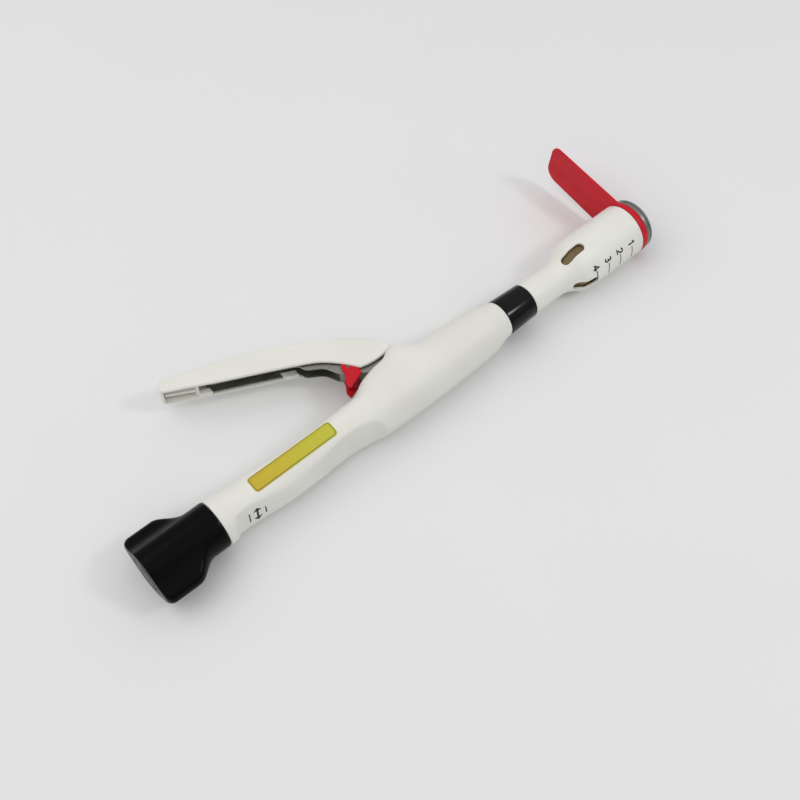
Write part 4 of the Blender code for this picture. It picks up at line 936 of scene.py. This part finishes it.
def safety_latch():
    """Two cheeks on the sides of the lever, joined by a web below it."""
    x, y = LATCH.x, LATCH.y
    inner = LEVER_HALF + FIT_GAP
    outer = inner + LATCH_CHEEK
    cheek = arc((x, y), 4.2, 20, 150, 14)
    finger = [(x - 5.5, y - 4.2, 1), (x - 8.6, y - 8.8, 1), (x - 8.6, y - 13.2, 1.2), (x + 3.4, y - 8.8, 1.2)]
    cheek += rounded(finger, 0.8, 3, closed=False)
    web = arc((x, y), 7.9, 232, 272, 8) + arc((x, y), 10.4, 272, 232, 8)
    cheeks = [soft_slab(cheek, *sorted((side * inner, side * outer)), 0.3) for side in (1, -1)]
    latch = join(prism(web, -0.5 * (inner + outer), 0.5 * (inner + outer)), *cheeks)
    return cut(latch, upright_rod((x, y), LATCH_PIN_RADIUS + FIT_GAP, -outer - 1, outer + 1, 24))


# Spacer and anvil

def transport_spacer():
    """A horseshoe that grips the shaft, with its slot down, and a long flat tab on the handle side."""
    slot, rim = SHAFT_RADIUS + SPACER_PLAY, CASING_RADIUS
    opening = radians(90) - asin(slot / rim)
    outline = [(slot * cos(a), slot * sin(a)) for a in np.linspace(0, pi, 33)]
    outline += [(rim * cos(a), rim * sin(a)) for a in np.linspace(pi + opening, -opening, 97)]
    plate = facing_x(soft_slab(outline, X_SPACER_BACK, X_SPACER_FRONT, 0.4))
    low = (TAB_REACH - TAB_LOW_CORNER, TAB_LOW_CORNER - TAB_TIP_HALF)
    high = (TAB_REACH - TAB_CORNER, TAB_TIP_HALF - TAB_CORNER)
    tab = [(slot + 2, -TAB_HALF_WIDTH), *arc(low, TAB_LOW_CORNER, -90, 0, 14)]
    tab += [*arc(high, TAB_CORNER, 0, 90, 10), (slot + 2, TAB_HALF_WIDTH)]
    blade = facing_x(soft_slab(tab, X_SPACER_BACK, X_SPACER_BACK + TAB_THICKNESS, 0.45))
    groove = tube(0.0, X_SPACER_BACK + 2.6, KNIFE_RADIUS - 1.1, KNIFE_RADIUS + 0.6)
    return cut(join(plate, turned_about_x(blade, TAB_TILT)), groove)


def staple_rows():
    """Radius and starting angle of the two rows of staples."""
    outer = GUIDE_RADIUS - STAPLE_EDGE
    return [(outer - STAPLE_ROW_PITCH, 0.0), (outer, 180.0 / STAPLE_COUNT)]


def at_each_staple(shape):
    """The shapes that a function of the row's radius gives, at every staple of both rows."""
    copies = []
    for radius, start in staple_rows():
        copies += [turned_about_x(shape(radius), start + 360 * i / STAPLE_COUNT) for i in range(STAPLE_COUNT)]
    return merged(copies)


def anvil_plate():
    """The anvil's face, with a pair of shallow pockets for the legs of each staple."""
    bore = SHAFT_RADIUS + FIT_GAP
    middle = KNIFE_RADIUS - 0.25
    low, high = middle - WASHER_HALF, middle + WASHER_HALF
    back, front = X_PLATE_BACK, X_PLATE_FRONT
    floor = back + WASHER_DEPTH
    rim = CASING_RADIUS - ANVIL_STEP
    profile = [(front, bore, 0), (front, rim, 0.2), (back, rim, 0.5), (back, high, 0),
               (floor, high, 0), (floor, low, 0), (back, low, 0), (back, bore, 0)]

    def pockets(radius):
        pair = []
        for y in (-POCKET_APART, POCKET_APART):
            inner = (back - 1, y - POCKET_HALF_LENGTH, radius - POCKET_HALF_WIDTH)
            outer = (back + POCKET_DEPTH, y + POCKET_HALF_LENGTH, radius + POCKET_HALF_WIDTH)
            pair.append(box(inner, outer))
        return merged(pair)

    return cut(turned(rounded(profile, 0.2)), at_each_staple(pockets))


def anvil_cap():
    bore = SHAFT_RADIUS + FIT_GAP
    height = X_DOME_TIP - X_DOME_BACK
    seat = X_DOME_BACK + 0.55 * height
    rim = CASING_RADIUS - ANVIL_STEP
    profile = [(seat, 0.0), (seat, bore), (X_DOME_BACK, bore), (X_DOME_BACK, rim - 0.15)]
    for share in np.linspace(0.03, 0.97, 24):
        angle = 0.5 * pi * share
        profile.append((X_DOME_BACK + height * sin(angle), rim * cos(angle) ** DOME_POWER))
    return turned(profile + [(X_DOME_TIP, 0.0)])


def staple_pusher():
    """A disc with a skirt and a finger for each staple, and a hollow tail that shows in the windows."""
    inside = smooth_curve(shoulder_points(CASING_WALL, CREASE_RADIUS, NECK_BORE))
    tail = [(x, inside(x) - PUSHER_TAIL_GAP) for x in np.linspace(-CASING_LENGTH, X_PUSHER_TAIL, 24)]
    skirt = X_GUIDE_BACK - PUSH_TRAVEL - FIT_GAP
    back = skirt - PUSHER_SKIRT - PUSHER_THICKNESS
    disc = back + PUSHER_THICKNESS
    inner = staple_rows()[0][0] - 0.85
    profile = [(back, PUSHER_BORE), (back, tail[0][1] - PUSHER_TAIL_WALL)]
    profile += [(x, max(radius - PUSHER_TAIL_WALL, PUSHER_TAIL_BORE)) for x, radius in tail]
    profile += list(reversed(tail)) + [(back, tail[0][1]), (back, GUIDE_RADIUS), (skirt, GUIDE_RADIUS)]
    profile += [(skirt, inner), (disc, inner), (disc, PUSHER_BORE)]

    def finger(radius):
        return box((skirt - 0.5, -FINGER_HALF_LENGTH, radius - FINGER_HALF_WIDTH),
                   (X_FINGER_TIP, FINGER_HALF_LENGTH, radius + FINGER_HALF_WIDTH))

    return join(turned(profile), at_each_staple(finger))


def staple_guide():
    """The ring in the mouth, with a slot for each staple."""
    back, front = X_GUIDE_BACK, X_GUIDE_FRONT
    inner = staple_rows()[0][0] - 1.15
    profile = [(back, inner, 0), (back, GUIDE_RADIUS, 0), (front, GUIDE_RADIUS), (front, inner)]
    half = 0.5 * STAPLE_SLOT_WIDTH
    reach = 0.5 * STAPLE_SLOT_LENGTH - half

    def slot(radius):
        outline = arc((reach, radius), half, -90, 90, 6) + arc((-reach, radius), half, 90, 270, 6)
        return facing_x(prism(outline, back - 1, front + 1))

    return cut(turned(rounded(profile, 0.3)), at_each_staple(slot))


# Adjusting knob

def knob_half_span(x):
    """Half the span of the wings at a station: level, then swept out, then rounded at the rear corner."""
    back = X_KNOB_FRONT - x
    share = min(max((back - WING_START) / (WING_FULL - WING_START), 0.0), 1.0)
    reach = KNOB_RADIUS + (WING_HALF_SPAN - KNOB_RADIUS) * share * share * (3 - 2 * share)
    into_corner = min(max(back - (KNOB_LENGTH - WING_CORNER), 0.0), WING_CORNER)
    return reach - (WING_CORNER - sqrt(WING_CORNER ** 2 - into_corner ** 2))


def knob_ring(x, inset=0.0):
    """A barrel with two thick wings; the wings grow out of the barrel's sides."""
    reach = knob_half_span(x)
    grown = max(0.0, min(1.0, (reach - KNOB_RADIUS) / (WING_HALF_SPAN - KNOB_RADIUS)))
    crease = sqrt(KNOB_RADIUS ** 2 - WING_ROOT ** 2)
    top = [(y, sqrt(KNOB_RADIUS ** 2 - y * y)) for y in np.linspace(-WING_ROOT, WING_ROOT, 25)]
    wing = []
    for u in np.concatenate([np.linspace(0.06, 0.72, 12), 1 - 0.28 * (1 - np.sin(np.linspace(0.1, 1.5, 9)))]):
        y = WING_ROOT + u * (reach - WING_ROOT)
        y_round = WING_ROOT + u * (KNOB_RADIUS - WING_ROOT)
        round_z = sqrt(max(KNOB_RADIUS ** 2 - y_round ** 2, 0.0))
        hollow = WING_TIP_HALF + (crease - WING_TIP_HALF) * (1 - u) ** 2.3
        tip = 1.0 if u < 0.72 else sqrt(max(1 - ((u - 0.72) / 0.28) ** 2, 0.0))
        wing.append((y, (1 - grown) * round_z + grown * hollow * tip))
    upper = [(-y, z) for y, z in reversed(wing)] + top + wing + [(reach, 0.0)]
    lower = [(y, -z) for y, z in reversed(upper[:-1])] + [(-reach, 0.0)]
    shrink = 1 - inset / KNOB_RADIUS
    return [(x, y * shrink, z * shrink) for y, z in upper + lower]


def adjusting_knob():
    rear = X_KNOB_REAR
    rings = [knob_ring(X_KNOB_FRONT, 0.45), knob_ring(X_KNOB_FRONT - 0.15, 0.15)]
    rings += [knob_ring(x) for x in stations(X_KNOB_FRONT - 0.5, rear + WING_CORNER, 1.1)]
    rings += [knob_ring(rear + WING_CORNER * (1 - sin(a))) for a in np.linspace(0.15, 1.1, 7)]
    rings += [knob_ring(rear + 0.3, 0.05), knob_ring(rear + 0.1, 0.25), knob_ring(rear, 0.6)]
    recess = X_TAIL_SPIGOT - 1.5
    pocket = rear + KNOB_POCKET_DEPTH
    return cut(loft(rings), rod(recess, X_KNOB_FRONT + 1, TAIL_SPIGOT_RADIUS + 0.4, 64),
               rod(pocket - 1, recess + 1, NUT_CORNER, 6), rod(rear - 1, pocket, KNOB_POCKET_RADIUS, 96))


def knob_end_cap():
    back, radius = X_KNOB_REAR, KNOB_POCKET_RADIUS - FIT_GAP
    deep = back + KNOB_POCKET_DEPTH - 2 * FIT_GAP
    inner, floor = radius - CAP_WALL, back + CAP_FLOOR
    profile = [(back, 0.0), (back, radius - 0.6), (back + 0.15, radius - 0.2), (back + 0.6, radius)]
    return turned(profile + [(deep, radius), (deep, inner), (floor, inner), (floor, 0.0)])


# Geometry Nodes: what repeats or follows a path

def node_group(name, **inputs):
    """A geometry tree with named inputs, whole numbers or lengths, and their usual values."""
    tree = bpy.data.node_groups.new(name, "GeometryNodeTree")
    tree.interface.new_socket("Geometry", in_out="OUTPUT", socket_type="NodeSocketGeometry")
    for label, value in inputs.items():
        kind = "NodeSocketInt" if isinstance(value, int) else "NodeSocketFloat"
        socket = tree.interface.new_socket(label, in_out="INPUT", socket_type=kind)
        socket.default_value = value
    return tree, tree.nodes.new("NodeGroupInput").outputs


def end_tree(tree, geometry, material):
    real = add(tree, "GeometryNodeRealizeInstances", {0: geometry})
    painted = add(tree, "GeometryNodeSetMaterial", {0: real.outputs[0], "Material": material})
    smooth = add(tree, "GeometryNodeSetShadeSmooth", {0: painted.outputs[0]})
    output = tree.nodes.new("NodeGroupOutput")
    tree.links.new(smooth.outputs[0], output.inputs[0])


def grown(name, tree, body, slot, material, values, replaced=()):
    """Run a tree, keep its plain mesh and place it in the frame."""
    holder = linked(name + "_tree", bpy.data.meshes.new(name + "_tree"))
    modifier = holder.modifiers.new("tree", "NODES")
    modifier.node_group = tree
    for item in tree.interface.items_tree:
        if item.in_out == "INPUT" and item.name in values:
            modifier[item.identifier] = values[item.name]
    bpy.context.view_layer.update()
    shape = holder.evaluated_get(bpy.context.evaluated_depsgraph_get())
    mesh = bpy.data.meshes.new_from_object(shape)
    bpy.data.objects.remove(holder, do_unlink=True)
    mesh.transform(INTO_FRAME)
    return finished(name, mesh, body, material, replaced)


def spring_tree(material):
    """A compression spring: a spiral with a round wire along it, laid along the axis."""
    tree, inputs = node_group("wound_spring", Turns=8.0, Radius=7.8, Length=30.0, Start=0.0, Wire=SPRING_WIRE)
    spiral = add(tree, "GeometryNodeCurveSpiral", {
        "Resolution": 40, "Rotations": inputs["Turns"], "Start Radius": inputs["Radius"],
        "End Radius": inputs["Radius"], "Height": inputs["Length"]})
    wire = add(tree, "GeometryNodeCurvePrimitiveCircle", {"Resolution": 12, "Radius": inputs["Wire"]})
    solid = add(tree, "GeometryNodeCurveToMesh", {
        0: spiral.outputs[0], "Profile Curve": wire.outputs[0], "Fill Caps": True})
    start = add(tree, "ShaderNodeCombineXYZ", {0: inputs["Start"]})
    laid = add(tree, "GeometryNodeTransform", {
        0: solid.outputs[0], "Translation": start.outputs[0], "Rotation": (0.0, 0.5 * pi, 0.0)})
    end_tree(tree, laid.outputs[0], material)
    return tree


def mark_tree(material):
    """The scale's marks: short printed arcs on the casing, one each centimetre back from its mouth."""
    tree, inputs = node_group("scale_marks", Count=SCALE_MARKS, Pitch=SCALE_PITCH, Radius=17.0, Start=0.0,
                              Sweep=0.5, Width=0.5)
    line = add(tree, "GeometryNodeCurveArc", {
        "Resolution": 24, "Radius": inputs["Radius"],
        "Start Angle": inputs["Start"], "Sweep Angle": inputs["Sweep"]})
    ink = add(tree, "GeometryNodeCurvePrimitiveQuadrilateral", {"Width": 0.12, "Height": inputs["Width"]})
    mark = add(tree, "GeometryNodeCurveToMesh", {
        0: line.outputs[0], "Profile Curve": ink.outputs[0], "Fill Caps": True})
    upright = add(tree, "GeometryNodeTransform", {0: mark.outputs[0], "Rotation": (0.5 * pi, 0.0, 0.5 * pi)})
    backwards = {0: (-1.0, 0.0, 0.0), "Scale": inputs["Pitch"]}
    step = add(tree, "ShaderNodeVectorMath", backwards, operation="SCALE")
    row = add(tree, "GeometryNodeMeshLine", {
        "Count": inputs["Count"], "Start Location": step.outputs[0], "Offset": step.outputs[0]})
    copies = add(tree, "GeometryNodeInstanceOnPoints", {0: row.outputs[0], "Instance": upright.outputs[0]})
    end_tree(tree, copies.outputs[0], material)
    return tree


def staple_tree(material):
    """A ring of open staples, each a wire crown with two legs towards the anvil."""
    tree, inputs = node_group("staple_ring", Count=STAPLE_COUNT, Radius=13.0, Start=0.0, Crown=2.9, Leg=3.8,
                              Front=-1.0, Wire=0.14)
    crown, front = inputs["Crown"], inputs["Front"]
    left, right = (add(tree, "ShaderNodeMath", {0: crown, 1: share}, operation="MULTIPLY").outputs[0]
                   for share in (-0.5, 0.5))
    foot = add(tree, "ShaderNodeMath", {0: front, 1: inputs["Leg"]}, operation="SUBTRACT").outputs[0]
    points = []
    for x, y in ((front, left), (foot, left), (foot, right), (front, right)):
        points.append(add(tree, "ShaderNodeCombineXYZ", {0: x, 1: y, 2: inputs["Radius"]}).outputs[0])
    wire = add(tree, "GeometryNodeCurvePrimitiveCircle", {"Resolution": 8, "Radius": inputs["Wire"]})
    together = add(tree, "GeometryNodeJoinGeometry")
    for start, end in zip(points, points[1:]):
        side = add(tree, "GeometryNodeCurvePrimitiveLine", {"Start": start, "End": end})
        tree.links.new(side.outputs[0], together.inputs[0])
    staple = add(tree, "GeometryNodeCurveToMesh", {
        0: together.outputs[0], "Profile Curve": wire.outputs[0], "Fill Caps": True})
    spots = add(tree, "GeometryNodePoints", {"Count": inputs["Count"]})
    index = add(tree, "GeometryNodeInputIndex").outputs[0]
    turn = add(tree, "ShaderNodeMath", {0: 2 * pi, 1: inputs["Count"]}, operation="DIVIDE").outputs[0]
    angle = add(tree, "ShaderNodeMath", {0: index, 1: turn, 2: inputs["Start"]}, operation="MULTIPLY_ADD")
    about = add(tree, "ShaderNodeCombineXYZ", {0: angle.outputs[0]})
    copies = add(tree, "GeometryNodeInstanceOnPoints", {
        0: spots.outputs[0], "Instance": staple.outputs[0], "Rotation": about.outputs[0]})
    end_tree(tree, copies.outputs[0], material)
    return tree


# Printing on curved faces

def on_casing(x, arc_length, lift):
    angle = arc_length / CASING_RADIUS
    radius = CASING_RADIUS + lift
    return (x, radius * cos(angle), radius * sin(angle))


def on_body_top(x, y, lift):
    """A point on the upper side of the grip, at a given distance towards the handle."""
    radius, height, flat, _ = (curve(x) for curve in CURVES)
    if y >= 0:
        z = radius * sqrt(1 - (y / height) ** 2)
        slope = Vector((0.0, y / height ** 2, z / radius ** 2))
    else:
        depth = (abs(y) ** -CREASE_POWER - flat ** -CREASE_POWER) ** (-1 / CREASE_POWER)
        z = sqrt(radius ** 2 - depth ** 2)
        slope = Vector((0.0, y, z))
    return Vector((x, y, z)) + slope.normalized() * lift


def on_body_side(x, z, lift):
    """A point on the palm side of the grip, at a given height."""
    radius, _, flat, _ = (curve(x) for curve in CURVES)
    return (x, -palm_side(sqrt(radius ** 2 - z * z), flat) - lift, z)


def wrapped(flat_shape, surface, lift=0.07, pitch=0.8):
    """Cut a flat shape into small fields, lay it on a curved face and give it the thickness of print."""
    low = [min(v.co[i] for v in flat_shape.verts) for i in (0, 1)]
    high = [max(v.co[i] for v in flat_shape.verts) for i in (0, 1)]
    for axis, direction in ((0, (1, 0, 0)), (1, (0, 1, 0))):
        for place in np.arange(low[axis] + pitch, high[axis], pitch):
            point = [0.0, 0.0, 0.0]
            point[axis] = place
            geometry = flat_shape.verts[:] + flat_shape.edges[:] + flat_shape.faces[:]
            bmesh.ops.bisect_plane(flat_shape, geom=geometry, plane_co=point, plane_no=direction)
    raised = bmesh.ops.extrude_face_region(flat_shape, geom=flat_shape.faces[:])
    top = {item for item in raised["geom"] if isinstance(item, bmesh.types.BMVert)}
    for vertex in flat_shape.verts:
        height = lift if vertex in top else -0.05
        vertex.co = surface(vertex.co.x, vertex.co.y, height)
    return flat_shape


def flat_outline(*outlines):
    """Fill flat outlines of (x, y) points."""
    bm = bmesh.new()
    for outline in outlines:
        bm.faces.new([bm.verts.new((x, y, 0.0)) for x, y in outline])
    return bm


def stroke(points, width):
    """A flat stroke of even width along a line of points (right, up), turned so that up is +x."""
    points = [Vector(point) for point in points]
    bm = bmesh.new()
    rows = []
    for i, here in enumerate(points):
        ahead = (points[min(i + 1, len(points) - 1)] - here).normalized()
        behind = (here - points[max(i - 1, 0)]).normalized()
        along = (ahead + behind).normalized()
        lean = max(0.55, along.dot(ahead if ahead.length else behind))
        side = Vector((-along.y, along.x)) * 0.5 * width / lean
        rows.append([bm.verts.new((place.y, place.x, 0.0)) for place in (here + side, here - side)])
    for one, two in zip(rows, rows[1:]):
        bm.faces.new((one[0], one[1], two[1], two[0]))
    return bm


def numeral_lines():
    """The middle line of each numeral from 1 to 4, one unit tall."""
    one = [(-0.22, 0.24), (0.06, 0.46), (0.06, -0.5)]
    two = arc((0.0, 0.2), 0.26, 165, -40, 14) + [(-0.28, -0.45), (0.32, -0.45)]
    three = arc((-0.02, 0.23), 0.22, 150, -80, 12) + arc((-0.02, -0.22), 0.25, 80, -150, 14)
    four = [(0.13, -0.5), (0.13, 0.44), (-0.32, -0.2), (0.36, -0.2)]
    return one, two, three, four


def scale_numerals():
    parts = []
    for i, line in enumerate(numeral_lines()):
        shape = stroke([(NUMERAL_HEIGHT * u, NUMERAL_HEIGHT * v) for u, v in line], NUMERAL_STROKE)
        shift = Vector((-SCALE_PITCH * (i + 1), radians(NUMERAL_ANGLE) * CASING_RADIUS, 0.0))
        bmesh.ops.translate(shape, verts=shape.verts, vec=shift)
        parts.append(wrapped(shape, on_casing))
    return merged(parts)


def label_film():
    x, y = LABEL_CENTRE
    dx, dy = 0.5 * LABEL_LENGTH, 0.5 * LABEL_WIDTH
    outline = rounded(corners(x - dx, y - dy, x + dx, y + dy), LABEL_CORNER, 8)
    return wrapped(flat_outline(outline), on_body_top, 0.12, 1.0)


def map_label(piece):
    """The label's own map, in millimetres from its middle."""
    layer = piece.data.uv_layers.new(name="label")
    for loop in piece.data.loops:
        place = (piece.data.vertices[loop.vertex_index].co - MOUTH) / MM
        layer.data[loop.index].uv = (place.x - LABEL_CENTRE[0], place.y - LABEL_CENTRE[1])


def turning_arrows():
    """A plain sign for turning the knob: a bar with an arrow head each way, on the palm side."""
    x, middle = SIGN_PLACE
    low, high = middle - 0.5 * SIGN_HEIGHT, middle + 0.5 * SIGN_HEIGHT

    def upright_bar(place, half_width, half_height):
        return corners(place - half_width, middle - half_height, place + half_width, middle + half_height)

    bar = upright_bar(x, ARROW_BAR_HALF, 0.5 * SIGN_HEIGHT - 3.0)
    down = [(x - ARROW_HALF, low + ARROW_LENGTH), (x, low), (x + ARROW_HALF, low + ARROW_LENGTH)]
    up = [(x + ARROW_HALF, high - ARROW_LENGTH), (x, high), (x - ARROW_HALF, high - ARROW_LENGTH)]
    shapes = [bar, down, up, upright_bar(x - 5.0, 0.35, 4.6), upright_bar(x + 5.0, 0.35, 3.2)]
    return merged([wrapped(flat_outline(shape), on_body_side) for shape in shapes])


# Assembly

def make_finishes():
    return {
        "white": moulded_white_abs(),
        "black": moulded_black_abs(),
        "gloss": polished_black_abs(),
        "red": moulded_red_pp(),
        "turned": turned_stainless(),
        "sheet": brushed_sheet_steel(),
        "bar": drawn_steel(),
        "tube": drawn_steel("drawn_bronzed_tube", "#8E7A4E", "#76643F", 0.36),
        "natural": natural_acetal(),
        "tan": moulded_tan_acetal(),
        "rubber": silicone_rubber(),
        "ink": printed_ink(),
        "label": printed_label_film(),
    }


def dress_nodes(finish):
    """Give each CAD node that stays a finish of its own."""
    kept = {
        "turned": ("anvil_shaft", "thrust_washer", "drive_nut"),
        "bar": ("handle_pin", "latch_pin", "thread_pin", "retaining_ring", "pull_rod", "screw_rod",
                "drive_yoke", "circular_knife"),
        "natural": ("tube_bush", "shaft_bush", "cutting_washer"),
        "rubber": ("shaft_seal",),
    }
    for key, names in kept.items():
        for name in names:
            mesh = NODES[name].data
            mesh.materials.clear()
            mesh.materials.append(finish[key])


def make_pieces(finish):
    upper, lower = body_shells()
    sleeve = tube(X_TUBE_BACK, X_TUBE_FRONT, PUSH_TUBE_BORE, PUSH_TUBE_RADIUS, 96)
    rows = [
        ("upper_body_shell", upper, "root", "white_plastic", "white", "body_shell_upper"),
        ("lower_body_shell", lower, "root", "white_plastic", "white", "body_shell_lower"),
        ("windowed_casing", head_casing(), "root", "white_plastic", "white", "head_casing"),
        ("locking_collar", locking_collar(), "root", "black_plastic", "gloss", "lock_collar"),
        ("handle_channel", handle_cover(), "handle", "white_plastic", "white", "handle_cover"),
        ("pressed_lever", lever_core(), "handle", "sheet_steel", "sheet", "lever_core"),
        ("red_latch", safety_latch(), "latch", "red_plastic", "red", "safety_latch"),
        ("red_spacer", transport_spacer(), "spacer", "red_plastic", "red", "transport_spacer"),
        ("anvil_face", anvil_plate(), "anvil", "steel", "turned", "anvil_plate"),
        ("anvil_dome", anvil_cap(), "anvil", "steel", "turned", "anvil_cap"),
        ("slotted_guide", staple_guide(), "root", "natural_plastic", "natural", "staple_guide"),
        ("tailed_pusher", staple_pusher(), "pusher", "tan_plastic", "tan", "staple_pusher"),
        ("winged_knob", adjusting_knob(), "knob", "black_plastic", "black", "adjusting_knob"),
        ("knob_cap", knob_end_cap(), "knob", "black_plastic", "black", "knob_end_cap"),
        ("push_sleeve", sleeve, "pusher", "steel", "tube", "push_tube"),
        ("scale_numerals", scale_numerals(), "root", "black_plastic", "ink"),
        ("turning_arrows", turning_arrows(), "root", "black_plastic", "ink"),
        ("yellow_label", label_film(), "root", "white_plastic", "label"),
    ]
    for name, shape, body, slot, look, *replaced in rows:
        piece = placed(name, shape, body, slot, finish[look], *replaced)
    map_label(piece)
    sweep = MARK_LENGTH / CASING_RADIUS
    marks = {"Radius": CASING_RADIUS + 0.02, "Start": radians(SCALE_ANGLE), "Sweep": sweep}
    ink, bar = finish["ink"], finish["bar"]
    grown("scale_marks", mark_tree(ink), "root", "black_plastic", ink, marks)
    length = X_SPRING_FRONT - X_SPRING_BACK
    coil = {"Start": X_SPRING_BACK + SPRING_WIRE, "Length": length - 2 * SPRING_WIRE}
    spring = grown("wound_spring", spring_tree(bar), "root", "steel", bar, coil, ("return_spring",))
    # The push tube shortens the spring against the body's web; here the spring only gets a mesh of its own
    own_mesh(spring)
    ring = staple_tree(bar)
    for name, (radius, start) in zip(("inner_staples", "outer_staples"), staple_rows()):
        row = {"Radius": radius, "Start": radians(start), "Front": X_GUIDE_FRONT - 0.4}
        grown(name, ring, "pusher", "steel", bar, row)


# Light, floor and camera

def make_floor():
    bm = bmesh.new()
    size = FLOOR_HALF_SIZE
    bm.faces.new([bm.verts.new((x, y, FLOOR_LEVEL)) for x, y in corners(-size, -size, size, size)])
    mesh = as_mesh("paper_sweep", bm)
    mesh.materials.append(pale_sweep())
    floor = linked("paper_sweep", mesh)


def make_lamp(name, place, size, watts, tint):
    """A soft box that faces the instrument."""
    lamp = bpy.data.lights.new(name, "AREA")
    lamp.shape = "RECTANGLE"
    lamp.size, lamp.size_y = size
    lamp.energy = watts
    lamp.color = linear(tint)[:3]
    holder = linked(name, lamp)
    holder.location = place
    holder.rotation_euler = (-Vector(place)).to_track_quat("-Z", "Y").to_euler()


def make_light():
    world = bpy.data.worlds.new("studio")
    world.use_nodes = True
    tree = world.node_tree
    background = tree.nodes["Background"]
    direction = add(tree, "ShaderNodeTexCoord").outputs["Generated"]
    up = add(tree, "ShaderNodeSeparateXYZ", {0: direction}).outputs[2]
    sky = blended(tree, up, 0.15, 0.95, "#B9BABC", "#FFFFFF")
    seen = add(tree, "ShaderNodeLightPath").outputs["Is Camera Ray"]
    shown = add(tree, "ShaderNodeMix", {0: seen, 6: sky, 7: linear(FAR_TONE)}, data_type="RGBA")
    tree.links.new(shown.outputs[2], background.inputs[0])
    background.inputs[1].default_value = WORLD_STRENGTH
    bpy.context.scene.world = world
    make_lamp("broad_soft_box", (-0.7, 0.55, 1.15), (1.3, 1.3), 5.0, "#FFFDFA")
    make_lamp("small_soft_box", (0.6, -0.69, 0.97), (0.2, 0.2), 2.2, "#FBFCFF")


def make_camera():
    turn, drop = radians(CAMERA_TURN), radians(CAMERA_DROP)
    right = Vector((cos(turn), -sin(turn), 0.0))
    ahead = Vector((sin(turn) * cos(drop), cos(turn) * cos(drop), -sin(drop)))
    up = right.cross(ahead)
    data = bpy.data.cameras.new("camera")
    data.sensor_width = SENSOR
    data.lens = SENSOR * CAMERA_FOCAL / PICTURE_WIDTH
    data.clip_start = 0.01
    camera = linked("camera", data)
    turned_axes = Matrix((right, up, -ahead)).transposed().to_4x4()
    camera.matrix_world = Matrix.Translation(MOUTH + Vector(CAMERA_PLACE) * MM) @ turned_axes
    bpy.context.scene.camera = camera


FINISHES = make_finishes()
dress_nodes(FINISHES)
make_pieces(FINISHES)
make_floor()
make_light()
make_camera()
bpy.context.scene.view_settings.view_transform = "Standard"
bpy.context.view_layer.update()
